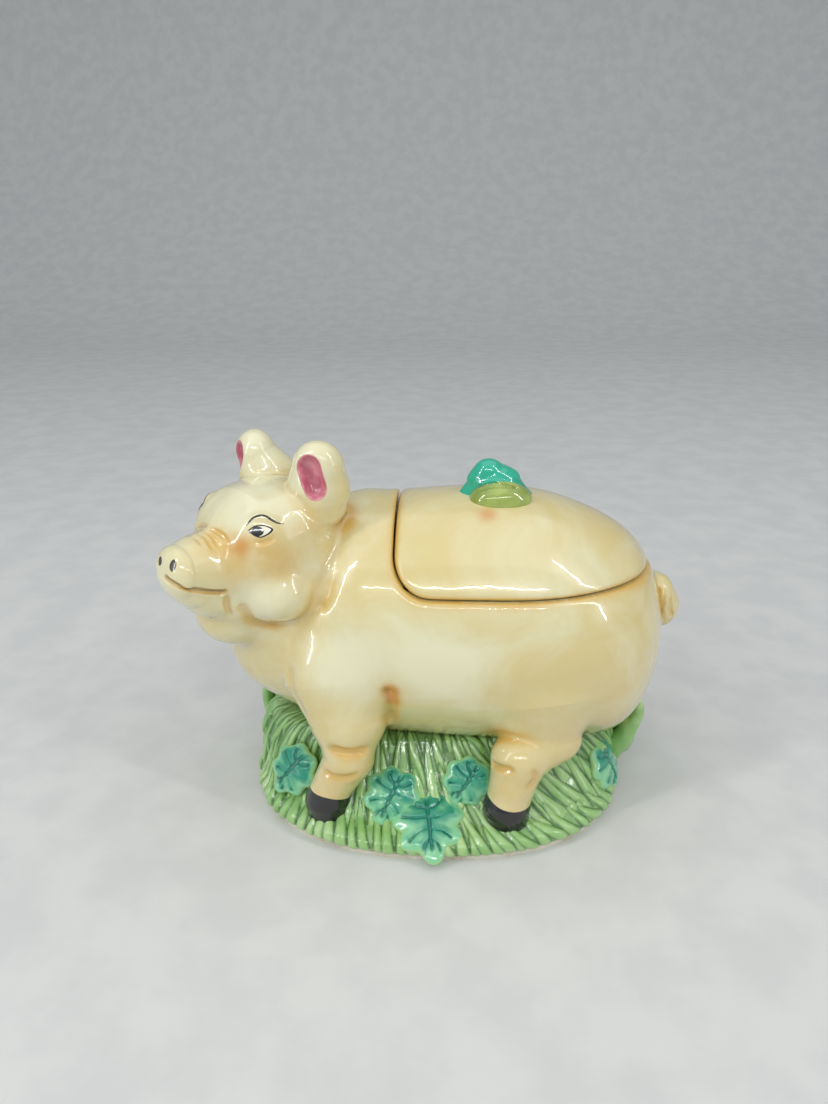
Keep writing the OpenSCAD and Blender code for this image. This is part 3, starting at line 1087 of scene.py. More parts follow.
    def paint(self, skin: Skin) -> None:
        """Sprays and brushes the colours on a skin, with painted shade laid into its creases as gold.

        Args:
            skin: The skin, whose painted amounts are set.
        """
        p, n = skin.points, skin.normals
        outer = self.clay.depth
        # Painted shade: how deep each point lies in a crease, read from the clay just outside it, goes into the gold
        # amount.
        fold = np.clip(1 - outer(p + 5 * n) / 5, 0, 1) * 0.9 + np.clip(1 - outer(p + 2 * n) / 2, 0, 1) * 0.5
        fold *= outer(p) > -1.5
        seam = np.exp(-((self.lid_zone(p) / 2.2) ** 2)) * (outer(p) > -1.5)
        # The pressed marks add more of the same gold and painted shade along their grooves.
        folds = np.zeros(len(p), np.float32)
        for stroke in self.clay.strokes:
            if stroke.push > 0:
                folds = np.maximum(folds, stroke.weight(p, 1.2) * min(stroke.push, 1.2))
        # The gold also grows towards the bottom, under the belly.
        under = np.clip((48 - p[:, 2]) / 60, 0, 0.35)
        skin.paint["gold"] = 0.85 * fold + 0.22 * folds + under + 0.5 * seam + spread(p, self.golden)
        skin.paint["rust"] = spread(p, self.rusty) + 0.15 * seam
        skin.paint["line"] = np.max([stroke.weight(p, 0.8) for stroke in self.lips], 0)
        skin.paint["pale"] = spread(p, self.whitened)
        pink = np.zeros(len(p), np.float32)
        for cup in self.cups:
            pink = np.maximum(pink, np.clip(1 - cup.depth(p) / 1.2, 0, 1))
        skin.paint["pink"] = pink
        ink = np.full(len(p), -5.0, np.float32)
        for balls in self.legs.values():
            ink = np.maximum(ink, self.hoof_line(balls, p))
        skin.paint["ink"] = ink

    golden: tuple[tuple[float, float, float, float, float], ...] = (
        (-52, -40, 110, 8, 0.6), (-66, -38, 108, 7, 0.5), (-40, -28, 112, 7, 0.5), (-58, -44, 99, 8, 0.6),
        (-72, -40, 104, 5, 0.5), (-47, -38, 102, 7, 0.5), (-54, -28, 121, 5, 0.4),
        (60, -25, 60, 20, 0.3), (-14, -40, 57, 8, 0.5),
    )
    rusty: tuple[tuple[float, float, float, float, float], ...] = (
        (-60, -41, 108, 5, 0.9), (-14, -41, 59, 3.2, 1.5), (-13.5, -39, 54, 3, 1.2), (-41, -33, 111, 4, 0.4),
    )
    whitened: tuple[tuple[float, float, float, float, float], ...] = (
        (-30, -42, 66, 10, 1), (5, -44, 72, 13, 0.9), (-45, -25, 88, 9, 0.9), (-60, -30, 118, 13, 0.9),
        (-80, -42, 100, 10, 0.9), (-56, -38, 92, 8, 0.6), (40, -30, 92, 14, 0.5), (-41, -24, 129, 8, 1.2),
        (-64, -4, 130, 8, 1.2),
    )

    def hoof_line(self, balls: tuple[tuple[float, ...], ...], points: Array) -> Array:
        """How far below one leg's black line each point is.

        Args:
            balls: The leg's chain of balls.
            points: Points in the jar's frame.

        Returns:
            Millimetres below the line, negative above it and far from this leg.
        """
        x, y = balls[-1][:2]
        ahead, aside = points[:, 0] - x, points[:, 1] - y
        line = (16.4 if x < 0 else 14.8) - 0.21 * ahead + 0.02 * aside**2 + (0.0 if x < 0 else 0.03) * ahead**2
        close = np.hypot(ahead, aside) < 14
        return np.where(close, line - points[:, 2], -5.0)

    def build(self, finish: bpy.types.Material) -> None:
        """Makes the jar's pieces and dresses them.

        Args:
            finish: The cream glaze with its painted colours.
        """
        step = self.step * 1
        points, quads = cast(self.jar, (-92, -53, 2), (90, 49, 138), step)
        points, normals = settle(self.jar, points)
        skin = Skin(points, normals, quads)
        centres = points[quads].mean(1)
        names = ["jar_body", *self.clay.parts]
        depths = np.stack([self.torso(centres), *[self.clay.part(n, centres) for n in names[1:]]])
        labels = depths.argmin(0)
        labels[self.hollow(centres) < 0.6] = 0
        for name, balls in self.legs.items():
            of_leg = labels == names.index(f"leg_{name}")
            names.append(f"hoof_{name}")
            labels[of_leg & (self.hoof_line(balls, centres) > 0)] = len(names) - 1
        for name, piece in skin.split(labels, names).items():
            if name != "jar_body":
                closing = piece.tris
                piece.tris = closing[:0]
                finer = piece.finer(self.clay.depth)
                finer.tris = closing
                piece = finer
            self.paint(piece)
            slot = "black_glaze" if name.startswith("hoof") else "cream_glaze"
            piece.piece(f"{name}_clay", "jar", [name], slot, finish)


# ---------------------------------------------------------------- the lid


@dataclass
class Lid:
    """The lid: the pig's back lifted off, with a rim that drops into the mouth and a curled leaf for a knob."""

    pig: Pig
    step: float = 0.8
    edge: float = 4.0
    rim_clear: float = 1.0
    rim_thick: float = 3.0
    rim_drop: float = 5.0
    knob_at: Point = (20.0, -3.0, 111.5)

    def shell(self, points: Array) -> Array:
        """Depth of the lid's shell."""
        pig = self.pig
        outer = cut(pig.trunk.depth(points), -pig.lid_zone(points) - pig.seam_gap, self.edge)
        inner = np.maximum(pig.trunk.depth(points) + pig.wall, pig.lid_front + pig.wall - points[:, 0])
        return cut(outer, inner, 1.5)

    def rim(self, points: Array) -> Array:
        """Depth of the locating rim."""
        pig = self.pig
        inset = -pig.mouth(points) - self.rim_clear
        ring = np.abs(inset - self.rim_thick / 2) - self.rim_thick / 2
        floor = pig.seam_z - self.rim_drop - points[:, 2]
        return -join(join(-ring, -floor, 1.5), -(pig.trunk.depth(points) + pig.wall - 0.3), 0.5)

    def knob(self) -> Clay:
        """The knob's clay: an oval face below a hood."""
        seat = Seat(self.knob_at)
        face = Limb(((1.0, -4.2, 0.6, 9.8, 6.3, 5.8), (2.6, -4, 0.9, 9.8, 6.3, 5.8)), seat)
        hood = Limb(((-0.4, 2, 0.5, 13.4, 6.4, 5), (-0.8, 1.4, 6, 8.8, 5.2, 5.2), (-2.2, 1, 9.6, 4.4, 4, 4)), seat, 5.0)
        lip = ((-11.6, -3.4, -0.5), (-8.6, -5, 4.4), (-3, -5.4, 7.2), (2.6, -5.4, 7.6), (8, -5, 5.4), (12, -3, 0))
        marks = [
            Stroke(lip, -0.9, 1.1, seat, 0.2),
            Stroke(tuple((x * 0.87, y - 0.8, z * 0.84) for x, y, z in lip), 0.8, 0.8, seat, 0.2),
            Stroke(((-8.6, -3.6, 5.4), (-7, -3.9, 7.4), (-5.6, -3.4, 8.6)), 0.4, 0.6, seat, 0.3),
            Stroke(((10.4, -1.6, 3.4), (8.6, -2.4, 5), (7.4, -2.8, 6.6)), 0.4, 0.6, seat, 0.3),
            Stroke(((-1.8, 4.8, 10), (-1, 6.6, 5.4), (0, 7.8, 0)), 0.8, 0.8, seat, 0.2),
        ]
        nothing = {"face": ([face], 1.0), "hood": ([hood], 0.6)}
        return Clay(lambda p: np.full(len(p), FAR, np.float32), nothing, strokes=marks)

    def build(self, cream: bpy.types.Material, knob_finish: bpy.types.Material) -> None:
        """Makes the lid's pieces and dresses them.

        Args:
            cream: The cream glaze.
            knob_finish: The knob's glaze.
        """
        step = self.step * 1
        for name, depth, low, high in (
            ("lid_shell", self.shell, (-16, -46, 86), (82, 46, 116)),
            ("lid_locating_rim", self.rim, (-12, -40, 82), (74, 40, 112)),
        ):
            points, quads = cast(depth, low, high, step)
            points, normals = settle(depth, points)
            skin = Skin(points, normals, quads)
            self.pig.paint(skin)
            skin.paint["rust"] += spread(points, ((17, -17, 111, 4.5, 0.8),))
            skin.piece(f"{name}_clay", "lid", [name], "cream_glaze", cream)
        clay = self.knob()
        low, high = np.array(self.knob_at) + (-15, -13, -6), np.array(self.knob_at) + (15, 11, 16)
        points, quads = cast(clay.depth, low, high, 0.4)
        points, normals = settle(clay.depth, points)
        skin = Skin(points, normals, quads)
        skin.paint["face"] = np.clip(0.5 + (clay.part("hood", points) - clay.part("face", points)) * 0.5, 0, 1)
        skin.paint["edge"] = np.clip((points[:, 2] - self.knob_at[2] - 4) / 8, 0, 1)
        skin.piece("lid_knob_clay", "lid", ["lid_knob"], "leaf_glaze", knob_finish)


# ---------------------------------------------------------------- the grassy foot


@dataclass(frozen=True)
class Blade:
    """One blade cut in relief: root and tip as (round, up) in millimetres over the bank's side."""

    root: tuple[float, float]
    tip: tuple[float, float]
    width: float
    lift: float
    bow: float = 0.0


@dataclass
class Bank:
    """The grassy foot: a sloping oval bank cut into blades, hollow below, on a bare ring."""

    square_up: float = 2.3
    levels: tuple[tuple[float, float, float], ...] = (
        (1.6, 67.0, 53.6), (2.6, 68.1, 54.7), (4.0, 68.5, 55.0), (6.0, 68.3, 54.6), (7.6, 67.8, 51.5),
        (9.2, 67.5, 46.5), (12.0, 67.2, 42.4), (16.0, 66.9, 38.4), (21.0, 66.5, 34.1), (26.0, 64.6, 30.6),
        (30.0, 61.6, 27.5), (31.4, 56.0, 22.0),
    )
    under: tuple[tuple[float, float, float], ...] = (
        (1.6, 59.4, 45.8), (2.6, 58.9, 40.0), (6.0, 58.9, 30.2), (18.0, 54.8, 26.4), (18.6, 40.0, 18.0),
    )
    leans: tuple[float, ...] = (-0.55, 0.5, -0.2, 0.35, 0.15, 0.2, -0.1, -0.3, -0.75, -0.55)
    columns: int = 880
    row_step: float = 0.5
    cut: float = 0.75
    plain: float = 0.5
    rows: tuple[tuple[float, float, float], ...] = ((38, 17, 5.4), (27, 22, 5.4), (14, 25, 5.0), (0.4, 21, 4.6))
    seed: int = 11

    def oval(self, half_x: float, half_y: float, turns: Array) -> Array:
        """Points round one oval.

        Args:
            half_x: Half its length.
            half_y: Half its width.
            turns: Angles round it, in radians.

        Returns:
            The points' x and y.
        """
        c, s = np.cos(turns), np.sin(turns)
        power = 2 / self.square_up
        return np.stack([half_x * np.sign(c) * np.abs(c) ** power, half_y * np.sign(s) * np.abs(s) ** power], 1)

    def blades(self, around: float, up: float) -> list[Blade]:
        """Lays the blades over the side.

        Args:
            around: Length round the bank.
            up: Length up the side.

        Returns:
            The blades, lowest first.
        """
        rng = np.random.default_rng(self.seed)
        made = []
        for start, reach, width in self.rows:
            count = int(around / (width * (1.1 if start > 1 else 0.92)))
            for i in range(count):
                place = (i + rng.uniform(-0.2, 0.2)) * around / count
                tilt = self.tilt(place / around) + rng.uniform(-0.16, 0.16)
                length = reach * rng.uniform(0.75, 1.2)
                root = (place, start + rng.uniform(-2.5, 2.0) * (start > 1))
                tip = (place + length * math.sin(tilt), min(root[1] + length * math.cos(tilt), up))
                made.append(
                    Blade(root, tip, width * rng.uniform(0.8, 1.2), rng.uniform(1.0, 1.6), rng.uniform(-0.9, 0.9))
                )
        return made

    def tilt(self, turn: float) -> float:
        """How far blades lean at a place round the bank, 0 at its tail end.

        Args:
            turn: Part of the way round, from 0 to 1.

        Returns:
            The lean in radians.
        """
        return float(np.interp(turn, (0, 0.12, 0.25, 0.38, 0.5, 0.6, 0.68, 0.78, 0.87, 1), self.leans))

    def relief(self, around: Array, up: Array, blades: list[Blade], length: float) -> tuple[Array, Array]:
        """Height of the cut blades over the side.

        Args:
            around: Distance round the bank of each column.
            up: Distance up the side of each row.
            blades: The blades, lowest first.
            length: Length round the bank.

        Returns:
            The height, and how near each point is to a blade's crest, by row and column.
        """
        height, crest = np.zeros((len(up), len(around))), np.full((len(up), len(around)), self.plain)
        for number, blade in enumerate(blades):
            root, tip = np.array(blade.root), np.array(blade.tip)
            span = tip - root
            size = math.hypot(*span)
            rows = (up > min(root[1], tip[1]) - blade.width) & (up < max(root[1], tip[1]) + blade.width)
            offset = (around[None, :] - root[0] + length / 2) % length - length / 2
            columns = np.abs(offset[0] - span[0] / 2) < abs(span[0]) / 2 + 2 * blade.width
            block = np.ix_(rows, columns)
            dx, dy = offset[:, columns], up[rows][:, None] - root[1]
            along = (dx * span[0] + dy * span[1]) / size**2
            across = (dx * span[1] - dy * span[0]) / size - blade.bow * np.sin(np.pi * np.clip(along, 0, 1))
            taper = np.clip(1 - along, 0, 1) ** 0.6
            half = np.maximum(blade.width / 2 * taper, 1e-3)
            reached = (along > -0.15) & (along < 1.03)
            inside = (np.abs(across) < half) & reached
            beside = np.where(reached, np.clip((np.abs(across) - half) / self.cut, 0, 1), 1)
            dome = np.clip(1 - (across / half) ** 2, 0, 1)
            top = blade.lift * np.sqrt(dome) * np.clip(1.25 - along, 0, 1) * np.clip((along + 0.15) * 5, 0.2, 1)
            height[block] = np.where(inside, np.maximum(top, height[block] * 0.35), height[block] * (0.3 + 0.7 * beside))
            crest[block] = np.where(inside, np.clip(dome * 1.5, 0, 1), crest[block] * (0.15 + 0.85 * beside))
        return height, crest

    def build(self, finish: bpy.types.Material, bare: bpy.types.Material) -> None:
        """Makes the bank and gives the foot ring its bare clay.

        Args:
            finish: The grass glaze.
            bare: The bare clay.
        """
        turns = np.linspace(0, 2 * np.pi, 7201)
        track = self.oval(68, 50, turns)
        gone = np.concatenate([[0], np.cumsum(np.linalg.norm(np.diff(track, axis=0), axis=1))])
        columns = self.columns // 1
        around = np.linspace(0, gone[-1], columns, endpoint=False)
        turns = np.interp(around, gone, turns)
        level = np.array(self.levels)
        steps = np.concatenate([[0], np.cumsum(np.hypot(np.diff(level[:, 0]), np.diff(level[:, 2])))])
        rows = int(steps[-1] / (self.row_step * 1))
        up = np.linspace(0, steps[-1], rows)
        kernel = np.array([1, 2, 3, 2, 1]) / 9
        profile = np.stack([np.convolve(np.pad(np.interp(up, steps, level[:, i]), 2, "edge"), kernel, "valid") for i in range(3)], 1)
        grid = np.zeros((rows, columns, 3))
        for i, (z, half_x, half_y) in enumerate(profile):
            grid[i, :, :2] = self.oval(half_x, half_y, turns)
            grid[i, :, 2] = z
        height, crest = self.relief(around, up, self.blades(gone[-1], steps[-1]), gone[-1])
        side = np.roll(grid, -1, 1) - np.roll(grid, 1, 1)
        rise = np.gradient(grid, axis=0)
        outward = np.cross(side, rise)
        outward /= np.maximum(np.linalg.norm(outward, axis=2, keepdims=True), 1e-9)
        fade = np.clip(up / 2.5, 0, 1)[:, None]
        grid += outward * (height * fade - 0.45)[:, :, None]
        rings = [grid]
        for z, half_x, half_y in ((31.8, 40, 14), (32.0, 20, 6)):
            ring = np.zeros((1, columns, 3))
            ring[0, :, :2], ring[0, :, 2] = self.oval(half_x, half_y, turns), z
            rings.append(ring)
        below = []
        for z, half_x, half_y in self.under:
            ring = np.zeros((1, columns, 3))
            ring[0, :, :2], ring[0, :, 2] = self.oval(half_x, half_y, turns), z
            below.insert(0, ring)
        grid = np.concatenate([*below, *rings])
        count = len(grid)
        points = np.concatenate([grid.reshape(-1, 3), [[0, 0, 18.8], [0, 0, 32.1]]])
        i, j = np.meshgrid(np.arange(count - 1), np.arange(columns), indexing="ij")
        k = (j + 1) % columns
        quads = np.stack([i * columns + j, i * columns + k, (i + 1) * columns + k, (i + 1) * columns + j], -1).reshape(-1, 4)
        j = np.arange(columns)
        k, last = (j + 1) % columns, (count - 1) * columns
        tris = np.concatenate(
            [np.stack([k, j, np.full(columns, len(points) - 2)], 1),
             np.stack([last + j, last + k, np.full(columns, len(points) - 1)], 1)]
        )
        skin = Skin(points.astype(np.float32), self.normals(points, quads, tris), quads, tris)
        shade = np.zeros((count, columns))
        # Painted shade: the blades grow darker towards the top of the bank, under the belly, where glaze also pools.
        shaded = 1 - 0.35 * np.clip((up - 14) / 22, 0, 1)[:, None]
        shade[len(below) : len(below) + rows] = crest * fade * shaded + (1 - fade) * 0.6
        skin.paint["crest"] = np.concatenate([shade.ravel(), [0, 0]])
        skin.paint["rim"] = np.clip(1 - (points[:, 2] - 2.0) / 3.2, 0, 1)
        skin.piece("grass_bank_clay", "jar", ["grass_bank"], "grass_glaze", finish)
        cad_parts["foot_ring"].data.materials.clear()
        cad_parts["foot_ring"].data.materials.append(bare)

    @staticmethod
    def normals(points: Array, quads: Array, tris: Array) -> Array:
        """Unit normals of a closed surface, shared at its points.

        Args:
            points: Its points.
            quads: Its four-point faces.
            tris: Its three-point faces.

        Returns:
            One normal for each point.
        """
        total = np.zeros_like(points, dtype=float)
        for faces in (quads, tris):
            across = points[faces[:, 2]] - points[faces[:, 0]]
            face = np.cross(across, points[faces[:, -1]] - points[faces[:, 1]])
            if faces.shape[1] == 3:
                face = np.cross(points[faces[:, 1]] - points[faces[:, 0]], across)
            for corner in faces.T:
                np.add.at(total, corner, face)
        return (total / np.maximum(np.linalg.norm(total, axis=1, keepdims=True), 1e-12)).astype(np.float32)


@dataclass
class Leaves:
    """Lobed leaves pressed on to the bank, each [at, tilt of the bank, way it faces, turn of its tip, size]."""

    places: dict[str, tuple[Point, float, float, float, float]] = field(
        default_factory=lambda: {
            "front_left": ((-50.5, -30, 18), 58, -28, -30, 0.85),
            "front_middle": ((-15, -39.5, 14.5), 48, 0, -25, 0.92),
            "front_right": ((11, -36.5, 19), 58, 0, -35, 0.78),
            "front_low": ((-1.8, -47.4, 9.0), 26, 0, 8, 1.12),
            "tail_end": ((61.5, -18, 14), 65, 60, 10, 0.85),
            "back_left": ((-28, 39, 14), 48, 185, 15, 1.0),
            "back_right": ((18, 39.5, 14.5), 48, 180, -20, 1.05),
            "back_low": ((-4, 46.5, 8.4), 16, 180, 8, 1.05),
        }
    )
    heart: tuple[float, ...] = (0, 0.5, 0, 6.0, 7.2, 3.0)
    lobes: tuple[tuple[float, ...], ...] = (
        (0.4, -7.6, 0, 3.5, 4.6, 1.9), (-5.6, -4.4, 0, 4.2, 3.1, 1.9), (5.6, -4.0, 0, 4.2, 3.1, 1.9),
        (-6.8, 2.2, 0, 4.4, 3.2, 1.9), (6.6, 2.6, 0, 4.6, 3.2, 1.9), (-3.6, 7.4, 0, 3.2, 3.4, 1.7), (3.4, 7.6, 0, 3.4, 3.4, 1.7),
    )
    veins: tuple[tuple[Point, ...], ...] = (
        ((0.6, 9.6, 1.6), (0, 5, 2.4), (0.2, 0, 2.6), (0, -5, 2.2), (0.3, -10, 1.2)),
        ((0.1, 4.2, 2.5), (3.2, 5.4, 2.2), (5, 8, 1.3)), ((0.1, 4.6, 2.5), (-3.2, 5.8, 2.2), (-4.8, 8.4, 1.3)),
        ((0.2, 1.4, 2.6), (4, 1.8, 2.2), (8.6, 3.4, 1.2)), ((0.2, 1.8, 2.6), (-4, 2.0, 2.2), (-8.8, 3.2, 1.2)),
        ((0.1, -2, 2.5), (3.4, -3, 2.1), (7, -5.8, 1.2)), ((0.1, -1.6, 2.5), (-3.4, -2.8, 2.1), (-7.2, -5.4, 1.2)),
        ((0.1, -5, 2.2), (1.8, -6.6, 1.8), (3, -9.4, 1.1)), ((0.1, -5, 2.2), (-1.8, -6.8, 1.8), (-2.8, -9.6, 1.1)),
    )

    def leaf(self, seat: Seat, size: float) -> Clay:
        """Works one leaf.

        Args:
            seat: Where it lies.
            size: Its scale in the plane of the bank.

        Returns:
            The leaf's clay.
        """
        def scaled(ball: tuple[float, ...]) -> tuple[float, ...]:
            """The ball at this leaf's size, its thickness kept."""
            x, y, z, rx, ry, rz = ball
            return (x * size, y * size, z, rx * size, ry * size, rz)

        limbs = [Limb((scaled(ball),), seat) for ball in (self.heart, *self.lobes)]
        marks = []
        for i, vein in enumerate(self.veins):
            path = tuple((x * size, y * size, z) for x, y, z in vein)
            marks.append(Stroke(path, 0.9 if i == 0 else 0.7, 0.6, seat, 0.12))
            shadow = tuple((x + 1.1, y + 0.3, z) for x, y, z in path)
            marks.append(Stroke(shadow, -0.35, 0.7, seat, 0.3))
        return Clay(lambda p: np.full(len(p), FAR, np.float32), {"leaf": (limbs, 0.5)}, strokes=marks)

    def build(self, finish: bpy.types.Material) -> None:
        """Makes the leaves.

        Args:
            finish: The leaf glaze.
        """
        for name, (at, tilt, facing, turn, size) in self.places.items():
            seat = Seat(at, turning(z=facing) @ turning(x=tilt) @ turning(z=turn))
            clay = self.leaf(seat, size)
            reach = 13 * size
            corners = seat.world(np.array([(x, y, z) for x in (-reach, reach) for y in (-reach, reach) for z in (-3, 4)]))
            points, quads = cast(clay.depth, corners.min(0), corners.max(0), 0.42)
            points, normals = settle(clay.depth, points)
            points[:, 2] = np.maximum(points[:, 2], 0.2)
            skin = Skin(points, normals, quads)
            local = seat.local(points)
            flat = np.stack([local[:, 0], local[:, 1], np.full(len(local), 0.0)], 1).astype(np.float32)
            inside = -clay.part("leaf", seat.world(flat)) / size
            veins = clay.strokes[::2]
            skin.paint["vein"] = np.max([stroke.weight(points, 1.2) for stroke in veins], 0)
            skin.paint["run"] = np.max([stroke.weight(points, 3.4) for stroke in veins], 0)
            skin.paint["edge"] = np.clip(1 - inside / 1.5, 0, 1) * (local[:, 2] > -0.5)
            skin.paint["stalk"] = np.clip(0.5 + local[:, 1] / (18 * size), 0, 1)
            skin.piece(f"leaf_{name}_clay", "jar", [f"leaf_{name}"], "leaf_glaze", finish)


@dataclass
class EndGrass:
    """Broad standing blades at one end of the bank, leaning out from the root."""

    name: str
    root_x: float
    tip_x: float
    across: tuple[float, ...]
    tip_z: float

    def build(self, finish: bpy.types.Material) -> None:
        """Makes the tuft.

        Args:
            finish: The grass glaze.
        """
        limbs, marks = [], []
        sign = 1 if self.tip_x > 0 else -1
        for i, y in enumerate(self.across):
            top = self.tip_z - 0.1 * y - 1.5 * (i % 2)
            middle = (0.5 * (self.root_x + self.tip_x) + 0.6 * sign, 1.03 * y, 0.5 * top + 5)
            limbs.append(Limb(((self.root_x, y, 12, 4, 3.5, 6), (*middle, 3.2, 3.7, 7), (self.tip_x, 1.05 * y, top, 2.4, 2.8, 7))))
            for shift in (-1.7, 0.0, 1.7):
                path = tuple(
                    (x + sign * 3.0, v + shift * k, z) for (x, v, z), k in
                    (((self.root_x, y, 10), 1.0), (middle, 0.9), ((self.tip_x, 1.05 * y, top + 4), 0.3))
                )
                marks.append(Stroke(path, 0.55, 0.6, fade=0.15))
        names = {f"blade{i}": ([limb], 0.6) for i, limb in enumerate(limbs)}
        clay = Clay(lambda p: np.full(len(p), FAR, np.float32), names, strokes=marks)
        low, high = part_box(self.name)
        points, quads = cast(clay.depth, np.array(low) / MM - 3, np.array(high) / MM + 3, 0.5)
        points, normals = settle(clay.depth, points)
        skin = Skin(points, normals, quads)
        depths = np.sort(np.stack([clay.part(n, points) for n in names]), 0)
        cuts = np.max([stroke.weight(points, 1.2) for stroke in marks], 0)
        skin.paint["crest"] = np.clip((depths[1] - depths[0]) / 2.2, 0, 1) * (1 - 0.75 * cuts)
        skin.paint["rim"] = np.clip((points[:, 2] - self.tip_z + 3) / 12, 0, 0.7)
        skin.piece(f"{self.name}_clay", "jar", [self.name], "grass_glaze", finish)


# ---------------------------------------------------------------- painted marks of the face


@dataclass
class Face:
    """Brush marks of thick colour on the head, given in the head's own axes on its left side."""

    pig: Pig
    almond: tuple[Point, ...] = (
        (-18.8, -14.8, 11.9), (-17.8, -15.1, 12.8), (-16.6, -15.8, 13.4), (-14.7, -17.1, 13.5), (-13.5, -18.1, 13.0),
        (-12.8, -18.8, 12.2), (-13.9, -18.9, 11.3), (-15.3, -18.5, 10.6), (-16.7, -17.8, 10.2), (-17.8, -16.7, 10.7),
        (-18.4, -15.7, 11.3),
    )
    iris: tuple[Point, ...] = (
        (-15.2, -17.9, 11.8), (-16.0, -18.0, 10.8), (-17.2, -17.3, 10.4), (-18.2, -16.2, 10.8), (-18.4, -15.4, 11.8),
        (-17.6, -15.4, 12.8), (-16.4, -16.1, 13.3), (-15.4, -17.2, 12.9),
    )
    glint: tuple[Point, ...] = (
        (-15.2, -17.7, 12.2), (-15.7, -17.8, 11.6), (-16.0, -17.5, 11.7), (-15.8, -17.2, 12.4), (-15.3, -17.1, 13.0),
        (-15.0, -17.3, 12.9),
    )
    brow: tuple[Point, ...] = (
        (-18.9, -13.4, 13.1), (-17.8, -13.6, 14.2), (-16.3, -14.0, 15.3), (-14.5, -15.0, 15.9), (-13.2, -16.2, 15.7),
        (-12.1, -17.4, 14.8), (-10.7, -18.5, 13.9), (-8.9, -19.3, 13.4),
    )
    nostril_near: tuple[Point, ...] = (
        (-38.9, -7.0, 2.4), (-39.6, -7.0, 1.4), (-40.2, -6.4, 1.0), (-40.4, -5.6, 1.5), (-40.1, -5.1, 2.6),
        (-39.4, -5.1, 3.6), (-38.7, -5.5, 3.9), (-38.5, -6.4, 3.4),
    )
    nostril_far: tuple[Point, ...] = (
        (-40.9, -1.2, 2.9), (-41.4, -1.1, 1.8), (-41.5, -0.1, 1.4), (-41.1, 0.9, 2.4), (-40.6, 1.2, 3.6), (-40.5, 0.1, 3.9),
    )

    def patch(self, outline: Sequence[Point], grow: float, lift: float) -> Skin:
        """A closed patch of raised colour on the skin.

        Args:
            outline: Its corners in the head's axes, rounded through.
            grow: Factor on its size.
            lift: How far it stands proud.

        Returns:
            The patch.
        """
        knots = np.array(outline, np.float32)
        ring = []
        for i in range(len(knots)):
            a, b, c, d = (knots[(i + j) % len(knots)] for j in (-1, 0, 1, 2))
            t = np.linspace(0, 1, 6, endpoint=False)[:, None]
            ring.append(0.5 * (2 * b + (c - a) * t + (2 * a - 5 * b + 4 * c - d) * t**2 + (3 * b - a - 3 * c + d) * t**3))
        ring = np.concatenate(ring)
        middle = ring.mean(0)
        scales = np.array([1, 0.96, 0.88, 0.7, 0.45, 0.2], np.float32)
        count = len(ring)
        spots = np.concatenate([middle + (ring - middle) * s * grow for s in scales] + [middle[None]])
        base, normals = settle(self.pig.clay.depth, self.pig.head_seat.world(spots), 3)
        raised = np.repeat(np.array([0, 0.7, 1, 1, 1, 1]), count).tolist() + [1]
        top = base + normals * (lift * np.array(raised, np.float32))[:, None]
        deep = base - normals * 0.3
        points = np.concatenate([top, deep[count:]])
        rows = len(scales)
        quads, tris = [], []
        j = np.arange(count)
        k = (j + 1) % count
        def row(i: int, below: bool) -> int:
            """Number of the first point of a ring, above or below."""
            return i * count if i == 0 or not below else len(top) + (i - 1) * count
        for below in (False, True):
            for i in range(rows - 1):
                a, b = row(i, below), row(i + 1, below)
                face = np.stack([a + j, a + k, b + k, b + j], 1)
                quads.append(face[:, ::-1] if below else face)
            a = row(rows - 1, below)
            centre = len(top) - 1 if not below else len(points) - 1
            face = np.stack([a + j, a + k, np.full(count, centre)], 1)
            tris.append(face[:, ::-1] if below else face)
        quads, tris = np.concatenate(quads), np.concatenate(tris)
        across = np.cross(points[quads[0, 1]] - points[quads[0, 0]], points[quads[0, 2]] - points[quads[0, 0]])
        if across @ normals[0] < 0:
            quads, tris = quads[:, ::-1], tris[:, ::-1]
        return Skin(points, np.concatenate([normals, -normals[count:]]), quads, tris)

    def ribbon(self, path: Sequence[Point], width: float, lift: float) -> Skin:
        """A closed, tapered brush line on the skin.

        Args:
            path: Its points in the head's axes, rounded through.
            width: Its width at the middle.
            lift: How far it stands proud.

        Returns:
            The line.
        """
        line = Stroke(tuple(path), 0, 1, self.pig.head_seat).line()
        keep = np.concatenate([[True], np.linalg.norm(np.diff(line, axis=0), axis=1) > 1e-4])
        line, normals = settle(self.pig.clay.depth, line[keep], 3)
        ahead = np.gradient(line, axis=0)
        side = np.cross(ahead, normals)
        side /= np.linalg.norm(side, axis=1, keepdims=True)
        t = np.linspace(0, 1, len(line))
        half = (width / 2 * np.clip(np.minimum(t, 1 - t) * 6, 0.08, 1) ** 0.6 * (0.75 + 0.25 * np.sin(np.pi * t)))[:, None]
        section = ((-1, 0), (-0.6, 1), (0, 1.3), (0.6, 1), (1, 0), (0, -2.5))
        rings = [line + side * half * a + normals * lift * b for a, b in section]
        points = np.stack(rings, 1).reshape(-1, 3)
        outward = [side * a * 0.5 + normals * (1 if b > -1 else -1) for a, b in section]
        shade = np.stack(outward, 1).reshape(-1, 3)
        shade /= np.linalg.norm(shade, axis=1, keepdims=True)
        n, m = len(line), len(section)
        i, j = np.meshgrid(np.arange(n - 1), np.arange(m), indexing="ij")
        k = (j + 1) % m
        quads = np.stack([i * m + j, (i + 1) * m + j, (i + 1) * m + k, i * m + k], -1).reshape(-1, 4)
        fan = [(0, a, a + 1) for a in range(1, m - 1)]
        last = (n - 1) * m
        tris = np.array(fan + [(last, last + a + 1, last + a) for a in range(1, m - 1)])
        across = np.cross(points[quads[0, 1]] - points[quads[0, 0]], points[quads[0, 3]] - points[quads[0, 0]])
        if across @ shade[0] < 0:
            quads, tris = quads[:, ::-1], tris[:, ::-1]
        return Skin(points.astype(np.float32), shade.astype(np.float32), quads, tris)

